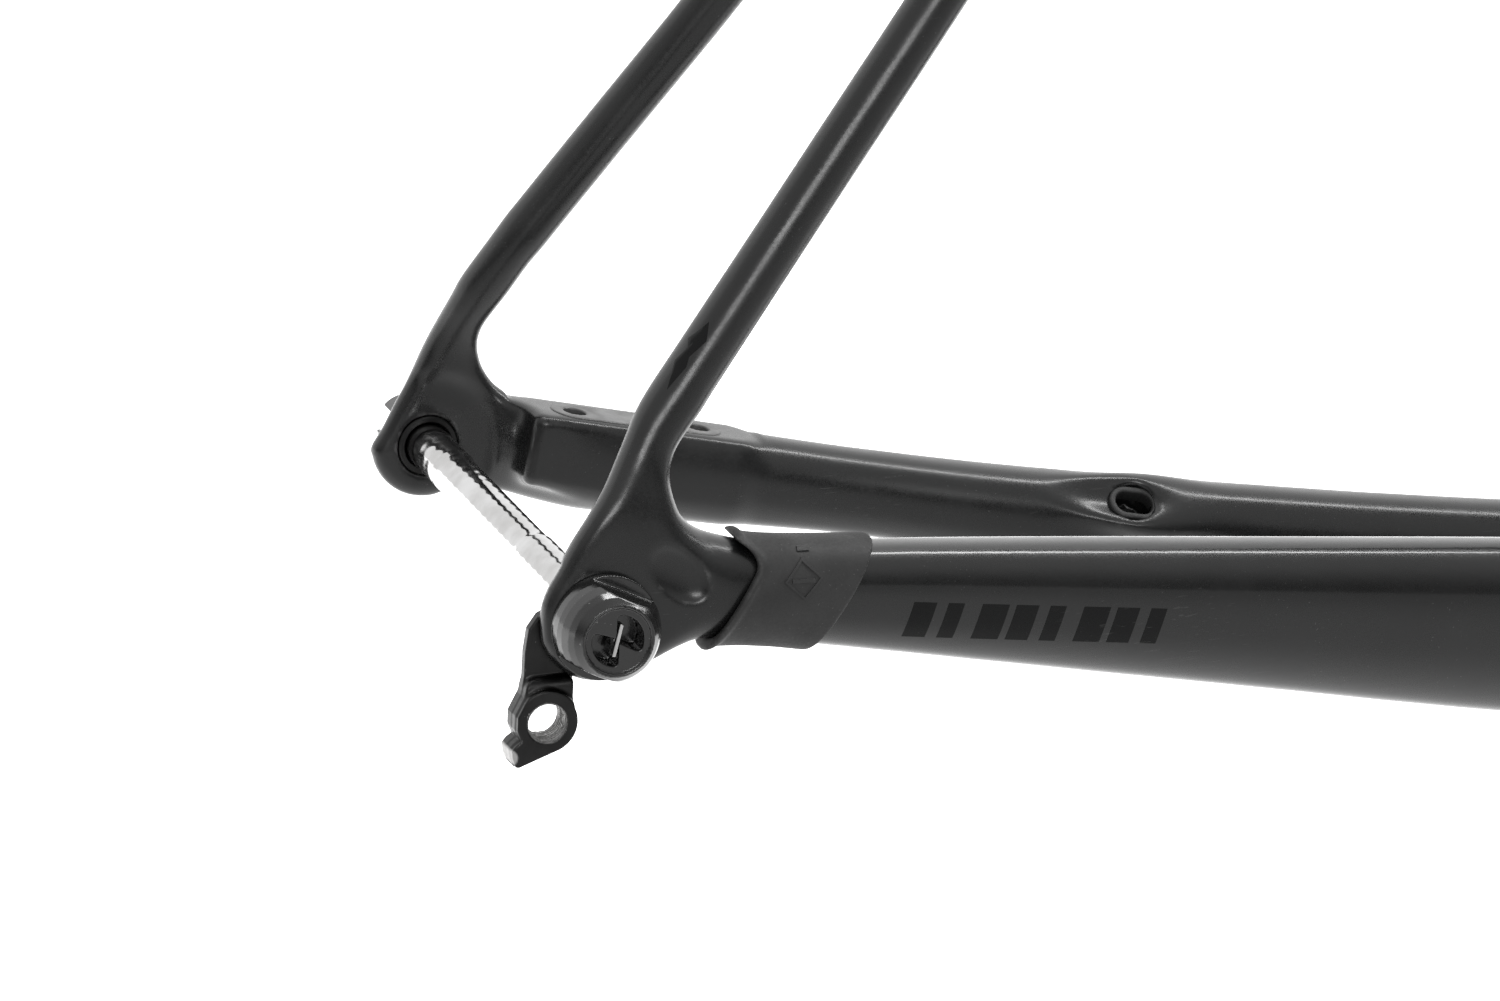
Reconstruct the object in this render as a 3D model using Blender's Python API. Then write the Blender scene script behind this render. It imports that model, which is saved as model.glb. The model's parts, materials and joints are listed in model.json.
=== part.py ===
"""Disc-brake road bicycle frame, built from its separate tubes, stays, dropouts, fittings and bearings.

The origin is the centre of the bottom bracket shell. +X points forward, +Y to the rider's left and
+Z up, so the drive side is at -Y. Dimensions are in millimetres and MM turns them into metres.
"""
import math

import bmesh
import bpy
from mathutils import Vector

MM = 0.001
GAP = 0.3
SEGMENTS = 24

# Wheelbase end: rear axle place, hub width and the side planes of the two dropouts.
AXLE_X = -404.0
AXLE_Z = 72.0
HUB_HALF_WIDTH = 71.0
HANGER_PLATE = 3.0
DROPOUT_OUTER = 79.0
AXLE_RADIUS = 6.0
BOSS_RADIUS = 14.8
AXLE_RELIEF_RADIUS = 5.6
AXLE_RELIEF = (-22.0, 48.0)

# Main triangle: seat and head angle, tube lengths and radii.
FRAME_ANGLE = math.radians(73.0)
SEAT_TUBE_LENGTH = 520.0
SEATPOST_BORE_RADIUS = 13.6
SEAT_TUBE_RADIUS = 17.3
HEAD_TUBE_BASE = (419.0, 0.0, 421.0)
HEAD_TUBE_LENGTH = 140.0
TUBE_WALL = 2.2
STAY_WALL = 1.8

# Bottom bracket: a pressed-in cup and a cartridge bearing on each side.
SHELL_RADIUS = 28.0
SHELL_BORE_RADIUS = 20.5
SHELL_HALF_WIDTH = 43.25
CUP_DEPTH = 9.5
SPINDLE_RADIUS = 12.0

# Axle nut and the hammer-shaped end of the axle that locks in it.
NUT_FLANGE_RADIUS = 13.6
NUT_BARREL_RADIUS = 8.2
NUT_FACE = 92.0
NUT_POCKET_RADIUS = 6.5
NUT_WEB = (84.3, 87.8)
HAMMER_LENGTH = 8.6
HAMMER_WIDTH = 3.6
HAMMER_TILT = math.radians(15.0)
FLATS_DISTANCE = 10.3
FLATS_TILT = math.radians(26.0)

# Derailleur hanger: threaded hole below and behind the axle.
HANGER_HOLE = (-14.4, -24.1)
HANGER_HOLE_RADIUS = 5.0
HANGER_RING_RADIUS = 7.8

# Flat-mount brake: two bolts 34 mm apart on the left chainstay.
BRAKE_HOLES = ((37.7, 65.0, 8.1), (71.5, 64.5, 0.3))
BRAKE_SLOPE = math.radians(-13.0)

# Chainstay guard: middle of each slanted end in front of the axle, and how far it leans forward at the top.
GUARD_REAR = (36.0, 3.0)
GUARD_FRONT = (64.0, 8.3)
GUARD_LIMIT = 32.0
GUARD_OUTSIDE = 1.7

# Lever of the axle, on the left side.
LEVER_PIVOT_Y = 90.5
LEVER_LENGTH = 48.0
LEVER_TILT = math.radians(17.0)

UP_SEAT = Vector((-math.cos(FRAME_ANGLE), 0.0, math.sin(FRAME_ANGLE)))
AXLE = Vector((AXLE_X, 0.0, AXLE_Z))
LATERAL = Vector((0.0, 1.0, 0.0))


def clear_scene():
    for obj in list(bpy.data.objects):
        bpy.data.objects.remove(obj, do_unlink=True)


def make_material(name, colour, roughness, metallic):
    material = bpy.data.materials.new(name)
    material.use_nodes = True
    shader = material.node_tree.nodes["Principled BSDF"]
    shader.inputs["Base Color"].default_value = (*colour, 1.0)
    shader.inputs["Roughness"].default_value = roughness
    shader.inputs["Metallic"].default_value = metallic
    return material


def make_materials():
    return {
        "carbon": make_material("carbon", (0.022, 0.022, 0.024), 0.38, 0.0),
        "black_metal": make_material("black_metal", (0.02, 0.02, 0.022), 0.28, 0.8),
        "steel": make_material("steel", (0.62, 0.62, 0.64), 0.18, 1.0),
        "aluminium": make_material("aluminium", (0.7, 0.7, 0.71), 0.3, 1.0),
        "rubber": make_material("rubber", (0.045, 0.046, 0.047), 0.75, 0.0),
        "nylon": make_material("nylon", (0.03, 0.03, 0.032), 0.55, 0.0),
        "pad": make_material("pad", (0.5, 0.5, 0.5), 0.5, 0.2),
    }


def finish_object(name, bm, material, origin=(0.0, 0.0, 0.0), axis=None):
    """Close a bmesh given in millimetres about its origin, and link it as one object."""
    bmesh.ops.recalc_face_normals(bm, faces=bm.faces)
    for vert in bm.verts:
        vert.co *= MM
    mesh = bpy.data.meshes.new(name)
    bm.to_mesh(mesh)
    bm.free()
    mesh.materials.append(material)
    mesh.shade_smooth()
    mesh.set_sharp_from_angle(angle=math.radians(35.0))
    obj = bpy.data.objects.new(name, mesh)
    obj.location = Vector(origin) * MM
    if axis is not None:
        obj.rotation_euler = Vector(axis).to_track_quat("Z", "Y").to_euler()
    bpy.context.scene.collection.objects.link(obj)
    return obj


def hide_tool(obj):
    obj.hide_render = True
    obj.display_type = "WIRE"


def combine(target, tool, operation):
    hide_tool(tool)
    modifier = target.modifiers.new(tool.name, "BOOLEAN")
    modifier.operation = operation
    modifier.solver = "EXACT"
    modifier.object = tool


def cut(target, *tools):
    for tool in tools:
        combine(target, tool, "DIFFERENCE")


def join(target, *tools):
    for tool in tools:
        combine(target, tool, "UNION")


def bridge(bm, first, second):
    count = len(first)
    for i in range(count):
        j = (i + 1) % count
        bm.faces.new((first[i], first[j], second[j], second[i]))


def turned(name, profile, origin, axis, material, segments=SEGMENTS):
    """Spin a closed (radius, height) profile about the axis through the origin."""
    bm = bmesh.new()
    rings = []
    for radius, height in profile:
        if radius == 0.0:
            rings.append([bm.verts.new((0.0, 0.0, height))] * segments)
            continue
        ring = []
        for k in range(segments):
            angle = 2.0 * math.pi * k / segments
            ring.append(bm.verts.new((radius * math.cos(angle), radius * math.sin(angle), height)))
        rings.append(ring)
    for i, ring in enumerate(rings):
        following = rings[(i + 1) % len(rings)]
        for k in range(segments):
            j = (k + 1) % segments
            corners = list(dict.fromkeys((ring[k], ring[j], following[j], following[k])))
            if len(corners) > 2:
                bm.faces.new(corners)
    return finish_object(name, bm, material, origin, axis)


def rod(name, radius, low, high, origin, axis, material, segments=SEGMENTS):
    profile = ((0.0, low), (radius, low), (radius, high), (0.0, high))
    return turned(name, profile, origin, axis, material, segments)


def tube_ring(name, inner, outer, low, high, origin, axis, material):
    profile = ((inner, low), (outer, low), (outer, high), (inner, high))
    return turned(name, profile, origin, axis, material)


def prism(name, outline, low, high, origin, material):
    """Extrude an (x, z) outline along Y between two planes."""
    bm = bmesh.new()
    near = [bm.verts.new((x, low, z)) for x, z in outline]
    far = [bm.verts.new((x, high, z)) for x, z in outline]
    bridge(bm, near, far)
    bm.faces.new(near)
    bm.faces.new(list(reversed(far)))
    return finish_object(name, bm, material, origin)


def arc(centre, radius, start, end, steps):
    """Points on an arc, with the angles in degrees."""
    points = []
    for k in range(steps + 1):
        angle = math.radians(start + (end - start) * k / steps)
        points.append((centre[0] + radius * math.cos(angle), centre[1] + radius * math.sin(angle)))
    return points


class Sweep:
    """A run of superellipse sections, each (x, y, z, half height, half width), smoothly joined."""

    def __init__(self, stations, power=2.3):
        self.stations = [tuple(float(v) for v in station) for station in stations]
        self.power = power

    def station(self, place):
        """Catmull-Rom value at a place between 0 and the last station's number."""
        last = len(self.stations) - 1
        i = min(int(place), last - 1)
        t = place - i
        p1 = self.stations[i]
        p2 = self.stations[i + 1]
        p0 = self.stations[i - 1] if i > 0 else [2 * a - b for a, b in zip(p1, p2)]
        p3 = self.stations[i + 2] if i + 2 <= last else [2 * b - a for a, b in zip(p1, p2)]
        values = []
        for a, b, c, d in zip(p0, p1, p2, p3):
            values.append(0.5 * (2 * b + (c - a) * t + (2 * a - 5 * b + 4 * c - d) * t * t
                                 + (3 * b - a - 3 * c + d) * t ** 3))
        return values

    def frame(self, place):
        last = len(self.stations) - 1
        step = 0.01
        behind = Vector(self.station(max(place - step, 0.0))[:3])
        ahead = Vector(self.station(min(place + step, last))[:3])
        tangent = (ahead - behind).normalized()
        up = Vector((0.0, 0.0, 1.0))
        up = (up - tangent * up.dot(tangent)).normalized()
        return tangent, up, tangent.cross(up)

    def point(self, place, angle, offset):
        x, y, z, half_height, half_width = self.station(place)
        tangent, up, side = self.frame(place)
        cosine = math.cos(angle)
        sine = math.sin(angle)
        across = (half_width + offset) * math.copysign(abs(cosine) ** (2.0 / self.power), cosine)
        rise = (half_height + offset) * math.copysign(abs(sine) ** (2.0 / self.power), sine)
        return Vector((x, y, z)) + side * across + up * rise

    def ring(self, place, offset=0.0, segments=SEGMENTS):
        return [self.point(place, 2.0 * math.pi * (k + 0.5) / segments, offset) for k in range(segments)]

    def place_at(self, x):
        """The place where the run reaches a certain x, for runs that head forward."""
        low = 0.0
        high = len(self.stations) - 1.0
        while high - low > 1e-5:
            middle = (low + high) / 2.0
            if self.station(middle)[0] < x:
                low = middle
            else:
                high = middle
        return low

    def places(self, steps):
        last = len(self.stations) - 1
        return [last * k / steps for k in range(steps + 1)]


def sweep_solid(name, sweep, material, steps, offset=0.0, segments=SEGMENTS):
    """A filled body along a sweep."""
    origin = Vector(sweep.stations[0][:3])
    bm = bmesh.new()
    rings = []
    for place in sweep.places(steps):
        rings.append([bm.verts.new(p - origin) for p in sweep.ring(place, offset, segments)])
    for first, second in zip(rings, rings[1:]):
        bridge(bm, first, second)
    bm.faces.new(rings[0])
    bm.faces.new(list(reversed(rings[-1])))
    return finish_object(name, bm, material, origin)


def sweep_tube(name, sweep, material, steps, wall, segments=SEGMENTS):
    """A hollow tube along a sweep, open at both ends."""
    origin = Vector(sweep.stations[0][:3])
    bm = bmesh.new()
    shells = []
    for offset in (0.0, -wall):
        rings = []
        for place in sweep.places(steps):
            rings.append([bm.verts.new(p - origin) for p in sweep.ring(place, offset, segments)])
        for first, second in zip(rings, rings[1:]):
            bridge(bm, first, second)
        shells.append(rings)
    outer, inner = shells
    bridge(bm, outer[0], inner[0])
    bridge(bm, outer[-1], inner[-1])
    return finish_object(name, bm, material, origin)


def box(name, size, origin, material, rotation=(0.0, 0.0, 0.0)):
    bm = bmesh.new()
    bmesh.ops.create_cube(bm, size=1.0)
    for vert in bm.verts:
        vert.co = Vector(c * s for c, s in zip(vert.co, size))
    obj = finish_object(name, bm, material, origin)
    obj.rotation_euler = rotation
    return obj


def at_axle(x, y, z):
    return (AXLE_X + x, y, AXLE_Z + z)


def chainstay_sweep(side):
    """Stations from the dropout forward. The brake side is lower and slimmer than the drive side."""
    if side < 0:
        stations = ((31.3, 70.9, 4.9, 12.5, 8.6), (44.0, 70.0, 1.7, 12.2, 9.1), (82.0, 66.9, -4.7, 14.5, 10.3),
                    (138.0, 60.7, -15.3, 17.5, 11.1), (195.0, 54.7, -26.1, 20.3, 11.6),
                    (253.0, 48.5, -37.2, 23.2, 12.0), (330.0, 40.5, -51.0, 25.5, 12.0),
                    (396.0, 33.5, -65.0, 26.0, 11.0))
    else:
        stations = ((31.3, 69.6, -3.4, 14.1, 8.8), (52.0, 67.0, -7.0, 14.6, 10.2), (72.0, 65.2, -11.2, 14.2, 10.4),
                    (92.0, 64.0, -16.7, 12.0, 9.6), (120.0, 62.0, -22.2, 11.3, 9.6),
                    (160.0, 57.6, -30.8, 12.6, 10.4), (250.0, 48.5, -48.5, 16.8, 11.6),
                    (330.0, 40.5, -62.0, 21.0, 12.0), (396.0, 33.5, -68.0, 23.5, 11.0))
    return Sweep([(*at_axle(x, side * y, z), h, w) for x, y, z, h, w in stations], power=2.5)


def seatstay_sweep(side):
    """Stations from the dropout up. Both stays meet the same stretch under the seat tube."""
    if side < 0:
        stations = ((24.3, 65.5, 54.0, 7.0, 6.2), (40.7, 63.2, 75.4, 6.9, 6.0), (58.7, 60.5, 98.7, 6.85, 5.9),
                    (76.6, 57.8, 122.0, 6.85, 5.9), (94.4, 54.9, 144.7, 6.85, 5.8))
    else:
        stations = ((21.0, 65.5, 54.0, 6.3, 6.0), (31.0, 64.3, 66.4, 6.35, 6.0), (52.3, 61.2, 92.3, 6.4, 5.9),
                    (73.3, 58.3, 117.5, 6.5, 5.8), (92.0, 54.9, 142.0, 6.6, 5.8))
    stations += ((150.0, 44.0, 217.0, 6.6, 5.8), (220.0, 23.0, 309.5, 7.0, 5.8), (262.0, 11.0, 366.0, 8.5, 5.5))
    return Sweep([(*at_axle(x, side * y, z), h, w) for x, y, z, h, w in stations], power=2.1)


def seat_tube_run(sections):
    """A run along the seat tube from (distance along, half depth, half width) sections."""
    return Sweep([(*(UP_SEAT * along), depth, width) for along, depth, width in sections], power=2.0)


def seat_tube_sweep():
    radius = SEAT_TUBE_RADIUS
    return seat_tube_run(((22.0, 21.0, 20.0), (90.0, 19.0, 18.5), (200.0, 17.6, 17.6),
                          (330.0, radius, radius), (SEAT_TUBE_LENGTH, radius, radius)))


def seat_tube_bore():
    radius = SEATPOST_BORE_RADIUS
    return seat_tube_run(((15.0, 17.0, 17.0), (90.0, 15.5, 15.5), (200.0, radius, radius),
                          (330.0, radius, radius), (SEAT_TUBE_LENGTH + 5.0, radius, radius)))


def head_point(along):
    return Vector(HEAD_TUBE_BASE) + UP_SEAT * along


def head_tube_outline(offset=0.0):
    outline = ((30.5, 0.0), (30.5, 12.0), (27.5, 50.0), (25.4, 105.0), (25.0, HEAD_TUBE_LENGTH))
    return [(radius + offset, along) for radius, along in outline]


def top_tube_sweep():
    start = UP_SEAT * 478.0
    end = head_point(112.0)
    middle = (start + end) / 2.0
    return Sweep(((*start, 16.5, 13.5), (*middle, 18.0, 16.0), (*end, 20.0, 19.0)), power=2.4)


def down_tube_sweep():
    end = head_point(34.0)
    direction = end.normalized()
    start = direction * 20.0
    middle = (start + end) / 2.0
    return Sweep(((*start, 25.0, 24.0), (*middle, 24.5, 24.0), (*end, 27.0, 23.0)), power=2.5)


def build_bottom_bracket(mats):
    wide = SHELL_HALF_WIDTH
    bore = SHELL_BORE_RADIUS
    seat = wide - CUP_DEPTH - 2.0
    profile = ((bore, -wide), (SHELL_RADIUS, -wide), (SHELL_RADIUS, wide), (bore, wide),
               (bore, seat), (bore + 2.0, seat - 1.5), (bore + 2.0, 1.5 - seat), (bore, -seat))
    turned("bottom_bracket_shell", profile, (0, 0, 0), LATERAL, mats["carbon"], 32)
    for side, label in ((-1, "right"), (1, "left")):
        axis = LATERAL * side
        face = (0.0, side * wide, 0.0)
        race = SPINDLE_RADIUS + 2.0
        cup = ((18.8, 1.7), (23.0, 1.7), (23.0, GAP), (bore - GAP, GAP), (bore - GAP, -CUP_DEPTH),
               (race + 0.5, -CUP_DEPTH), (race + 0.5, -8.2), (18.8, -8.2))
        turned("bb_cup_" + label, cup, face, axis, mats["nylon"], 32)
        tube_ring("bb_bearing_" + label, race + GAP, 18.5, -7.9, -0.9, face, axis, mats["steel"])
        tube_ring("bb_race_" + label, SPINDLE_RADIUS, race, -7.9, 1.0, face, axis, mats["steel"])
    length = wide - CUP_DEPTH - GAP
    tube_ring("bb_dust_sleeve", 14.8, 16.6, -length, length, (0, 0, 0), LATERAL, mats["nylon"])
    build_cable_guide(mats)


def build_cable_guide(mats):
    guide = box("bb_cable_guide", (26.0, 30.0, 9.0), (0.0, 0.0, -29.0), mats["nylon"])
    shell = rod("guide_cutter", SHELL_RADIUS + GAP, -60.0, 60.0, (0, 0, 0), LATERAL, mats["nylon"], 32)
    hole = rod("guide_hole", 2.6, -12.0, 12.0, (0.0, 0.0, -29.0), (0, 0, 1), mats["nylon"], 16)
    cut(guide, shell, hole)
    screw = ((0.0, -3.2), (4.0, -2.4), (4.0, 0.0), (2.2, 0.0), (2.2, 4.6), (0.0, 4.6))
    turned("bb_guide_screw", screw, (0.0, 0.0, -33.8), (0, 0, 1), mats["steel"], 16)


def build_head_tube(mats):
    inner = ((21.2, HEAD_TUBE_LENGTH), (21.2, 133.0), (19.5, 131.5), (22.0, 60.0), (22.5, 12.0),
             (26.3, 8.0), (26.3, 0.0))
    profile = head_tube_outline() + list(inner)
    head = turned("head_tube", profile, HEAD_TUBE_BASE, UP_SEAT, mats["carbon"], 32)
    bearings = (("upper", 15.1, 20.9, 133.3, 139.8), ("lower", 20.0, 26.0, 0.3, 7.3))
    for label, bore, outer, low, high in bearings:
        origin = head_point((low + high) / 2.0)
        half = (high - low) / 2.0
        race = bore + 2.0
        tube_ring("headset_bearing_" + label, race + GAP, outer, -half, half, origin, UP_SEAT, mats["steel"])
        tube_ring("headset_race_" + label, bore, race, -half, half, origin, UP_SEAT, mats["steel"])
    return head


def build_seat_tube(mats):
    seat = sweep_solid("seat_tube", seat_tube_sweep(), mats["carbon"], 6)
    shell = rod("seat_tube_cope", SHELL_RADIUS + GAP, -70.0, 70.0, (0, 0, 0), LATERAL, mats["carbon"], 32)
    cut(seat, sweep_solid("seat_tube_bore", seat_tube_bore(), mats["carbon"], 6), shell)
    for number, along in enumerate((175.0, 239.0), start=1):
        radius = 17.6 + (SEAT_TUBE_RADIUS - 17.6) * (along - 200.0) / 130.0
        forward = LATERAL.cross(UP_SEAT)
        surface = UP_SEAT * along + forward * (radius + 0.2)
        cut(seat, boss_hole("seat_boss_hole_%d" % number, surface, forward, mats))
        bottle_bolt("bottle_bolt_seat_%d" % number, surface, forward, mats)
    return seat


def boss_hole(name, surface, outward, mats):
    return rod(name, 2.7, -7.0, 3.0, surface, outward, mats["carbon"], 16)


def bottle_bolt(name, surface, outward, mats):
    profile = ((0.0, -6.0), (2.3, -6.0), (2.3, GAP), (4.4, GAP), (4.4, 2.2), (3.2, 3.3),
               (1.8, 3.3), (1.8, 1.2), (0.0, 1.2))
    turned(name, profile, surface, outward, mats["steel"], 16)


def build_seat_clamp(mats):
    base = UP_SEAT * (SEAT_TUBE_LENGTH - 17.0)
    clamp = tube_ring("seat_clamp", SEAT_TUBE_RADIUS + GAP, 21.2, 0.0, 14.0, base, UP_SEAT, mats["black_metal"])
    back = -LATERAL.cross(UP_SEAT)
    centre = base + UP_SEAT * 7.0 + back * 24.5
    tilt = (0.0, math.radians(-90.0) + FRAME_ANGLE, 0.0)
    ears = box("seat_clamp_ears", (12.0, 15.0, 13.0), centre, mats["black_metal"], tilt)
    slot = box("seat_clamp_slot", (22.0, 2.6, 20.0), centre - back * 1.0, mats["black_metal"], tilt)
    hole = rod("seat_clamp_hole", 2.9, -12.0, 12.0, centre + back * 1.0, LATERAL, mats["black_metal"], 16)
    bore = rod("seat_clamp_bore", SEAT_TUBE_RADIUS + GAP, -4.0, 20.0, base, UP_SEAT, mats["black_metal"])
    join(clamp, ears)
    cut(clamp, slot, hole, bore)
    profile = ((0.0, -7.3), (2.5, -7.3), (2.5, 7.8), (4.3, 7.8), (4.3, 12.0), (2.0, 12.0),
               (2.0, 9.0), (0.0, 9.0))
    turned("seat_clamp_bolt", profile, centre + back * 1.0, LATERAL, mats["steel"], 16)


def build_main_tubes(mats):
    seat_cutter = sweep_solid("top_tube_seat_cope", seat_tube_sweep(), mats["carbon"], 6, offset=GAP)
    head_cutter_profile = [(0.0, -30.0), (30.8, -30.0)] + head_tube_outline(GAP) + [(25.3, 170.0), (0.0, 170.0)]
    head_cutter = turned("head_cope", head_cutter_profile, HEAD_TUBE_BASE, UP_SEAT, mats["carbon"], 32)
    top = sweep_tube("top_tube", top_tube_sweep(), mats["carbon"], 4, TUBE_WALL)
    cut(top, seat_cutter, head_cutter)
    shell = rod("down_tube_cope", SHELL_RADIUS + GAP, -70.0, 70.0, (0, 0, 0), LATERAL, mats["carbon"], 32)
    down_sweep = down_tube_sweep()
    down = sweep_tube("down_tube", down_sweep, mats["carbon"], 4, TUBE_WALL)
    cut(down, shell, head_cutter, seat_cutter)
    for number, along in enumerate((185.0, 249.0), start=1):
        start = Vector(down_sweep.stations[0][:3])
        end = Vector(down_sweep.stations[-1][:3])
        direction = (end - start).normalized()
        outward = direction.cross(LATERAL)
        outward = outward if outward.z > 0.0 else -outward
        place = 2.0 * (along - start.length) / (end - start).length
        surface = direction * along + outward * (down_sweep.station(place)[3] + 0.2)
        cut(down, boss_hole("down_boss_hole_%d" % number, surface, outward, mats))
        bottle_bolt("bottle_bolt_down_%d" % number, surface, outward, mats)
    build_cable_port(mats, down, down_sweep)


def oval_prism(name, length, width, low, high, origin, axis, along, material):
    """An oval bar: its long way follows `along` and it is extruded down the axis."""
    bm = bmesh.new()
    axis = Vector(axis).normalized()
    along = (Vector(along) - axis * axis.dot(Vector(along))).normalized()
    across = axis.cross(along)
    outline = arc((length / 2 - width / 2, 0.0), width / 2, -90.0, 90.0, 8)
    outline += arc((width / 2 - length / 2, 0.0), width / 2, 90.0, 270.0, 8)
    rings = []
    for height in (low, high):
        rings.append([bm.verts.new(along * u + across * v + axis * height) for u, v in outline])
    bridge(bm, rings[0], rings[1])
    bm.faces.new(rings[0])
    bm.faces.new(list(reversed(rings[1])))
    return finish_object(name, bm, material, origin)


def build_cable_port(mats, down, down_sweep):
    """A flush oval plug with two cable holes, let into the left side of the down tube."""
    place = 1.72
    x, y, z, half_height, half_width = down_sweep.station(place)
    tangent = down_sweep.frame(place)[0]
    centre = Vector((x, half_width, z))
    cut(down, oval_prism("cable_port_pocket", 34.0, 15.0, -8.0, 4.0, centre, LATERAL, tangent, mats["nylon"]))
    port = oval_prism("cable_port_cover", 33.4, 14.4, -3.0, 4.0, centre, LATERAL, tangent, mats["nylon"])
    skin = sweep_solid("cable_port_skin", down_sweep, mats["nylon"], 4)
    combine(port, skin, "INTERSECT")
    for offset in (-8.0, 8.0):
        name = "cable_port_hole_front" if offset > 0.0 else "cable_port_hole_rear"
        cut(port, rod(name, 2.6, -8.0, 6.0, centre + tangent * offset, LATERAL, mats["nylon"], 16))


def build_stays(mats):
    shell = rod("chainstay_cope", SHELL_RADIUS + GAP, -70.0, 70.0, (0, 0, 0), LATERAL, mats["carbon"], 32)
    seat_cutter = sweep_solid("seatstay_cope", seat_tube_sweep(), mats["carbon"], 6, offset=GAP)
    for side, label in ((-1, "right"), (1, "left")):
        sweep = chainstay_sweep(side)
        if side < 0:
            stay = sweep_tube("chainstay_" + label, sweep, mats["carbon"], 14, STAY_WALL, 20)
        else:
            stay = sweep_solid("chainstay_" + label, sweep, mats["carbon"], 16, segments=20)
            hollow = Sweep(sweep.stations[4:], sweep.power)
            cut(stay, sweep_solid("chainstay_hollow", hollow, mats["carbon"], 8, -STAY_WALL, 20))
        cut(stay, shell)
        if side > 0:
            build_brake_mount(mats, stay)
            build_hose_port(mats, stay)
        upper = sweep_tube("seatstay_" + label, seatstay_sweep(side), mats["carbon"], 10, STAY_WALL, 16)
        cut(upper, seat_cutter)


def brake_up():
    return Vector((-math.sin(BRAKE_SLOPE), 0.0, math.cos(BRAKE_SLOPE)))


def build_brake_mount(mats, stay):
    """A thin facing pad on the left chainstay, and the sleeves that its two bolts pass through."""
    up = brake_up()
    first = Vector(at_axle(*BRAKE_HOLES[0]))
    second = Vector(at_axle(*BRAKE_HOLES[1]))
    along = (second - first).normalized()
    centre = (first + second) / 2.0
    pad = oval_prism("brake_mount_pad", 48.0, 12.6, -2.4, 0.0, centre, up, along, mats["pad"])
    cut(stay, oval_prism("brake_land", 66.0, 26.0, 0.0, 9.0, centre, up, along, mats["carbon"]))
    cut(stay, oval_prism("brake_pocket", 48.6, 13.2, -2.7, 9.0, centre, up, along, mats["carbon"]))
    for label, origin in (("rear", first), ("front", second)):
        cut(pad, rod("brake_pad_hole_" + label, 3.1, -6.0, 6.0, origin, up, mats["pad"], 20))
        cut(stay, rod("brake_stay_hole_" + label, 4.1, -40.0, 6.0, origin, up, mats["carbon"], 20))
        tube_ring("brake_sleeve_" + label, 2.8, 3.8, -18.0, -2.8, origin, up, mats["aluminium"])


def build_hose_port(mats, stay):
    """An oval rubber grommet where the brake hose leaves the left chainstay."""
    sweep = chainstay_sweep(1)
    place = sweep.place_at(AXLE_X + 187.0)
    angle = math.radians(42.0)
    surface = inner_surface(sweep, place, angle)
    outward = (surface - Vector(sweep.station(place)[:3])).normalized()
    tangent = sweep.frame(place)[0]
    cut(stay, oval_prism("hose_pocket", 14.6, 10.6, -7.0, 6.0, surface, outward, tangent, mats["rubber"]))
    grommet = oval_prism("hose_port_grommet", 14.0, 10.0, -4.0, 0.8, surface, outward, tangent, mats["rubber"])
    cut(grommet, oval_prism("hose_hole", 9.6, 6.4, -9.0, 9.0, surface, outward, tangent, mats["rubber"]))


def inner_surface(sweep, place, angle):
    """A point on the side of a stay that faces the wheel, at an angle above level."""
    a = sweep.point(place, angle, 0.0)
    b = sweep.point(place, math.pi - angle, 0.0)
    return a if abs(a.y) < abs(b.y) else b


def dropout_outline(side):
    """Outline about the axle: round boss, chainstay stub, curved crotch, seatstay stub, rear edge."""
    if side < 0:
        boss = arc((0.0, 0.0), BOSS_RADIUS + 0.4, 190.0, 300.0, 12)
        lower = ((13.0, -11.6), (19.9, -9.0), (25.5, -7.8), (30.2, -7.6))
        crotch = ((30.6, 17.6), (26.2, 20.4), (22.3, 24.4), (20.5, 29.2), (19.9, 33.7), (20.8, 37.9),
                  (23.0, 41.9), (28.6, 49.3))
        rear = ((17.5, 57.8), (13.1, 52.4), (7.5, 43.3), (2.3, 34.4), (-2.8, 26.6), (-6.6, 20.7),
                (-10.4, 14.1), (-13.3, 9.4), (-15.0, 4.5))
    else:
        boss = arc((0.0, 0.0), BOSS_RADIUS - 0.3, 180.0, 290.0, 12)
        lower = ((12.0, -12.6), (20.2, -14.2), (25.0, -15.6), (29.6, -16.6))
        crotch = ((30.4, 9.8), (26.4, 10.4), (22.5, 12.1), (18.1, 15.6), (15.2, 19.9), (13.8, 24.1),
                  (13.5, 28.2), (14.4, 32.2), (16.7, 36.4), (25.4, 49.6))
        rear = ((15.4, 56.8), (9.4, 47.9), (5.2, 40.9), (1.2, 33.6), (-2.8, 25.2), (-6.3, 17.4),
                (-9.6, 11.1), (-12.3, 5.1))
    return boss + list(lower) + list(crotch) + list(rear)


def root_solid(name, points, sweep, mats):
    """The root of a dropout: it swells out of the plate and runs just past the start of its stay."""
    start = sweep.stations[0]
    past = Vector(start[:3]) + sweep.frame(0.0)[0] * 2.0
    root = Sweep((*points, (*past, *start[3:])), power=sweep.power)
    return sweep_solid(name, root, mats["carbon"], 4, segments=20)


def root_trim(name, sweep, mats):
    """A block that ends a dropout's root one gap short of its stay."""
    size = 50.0
    tangent = sweep.frame(0.0)[0]
    centre = Vector(sweep.stations[0][:3]) + tangent * (size / 2.0 - GAP)
    rotation = tangent.to_track_quat("Z", "Y").to_euler()
    return box(name, (size, size, size), centre, mats["carbon"], rotation)


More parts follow.
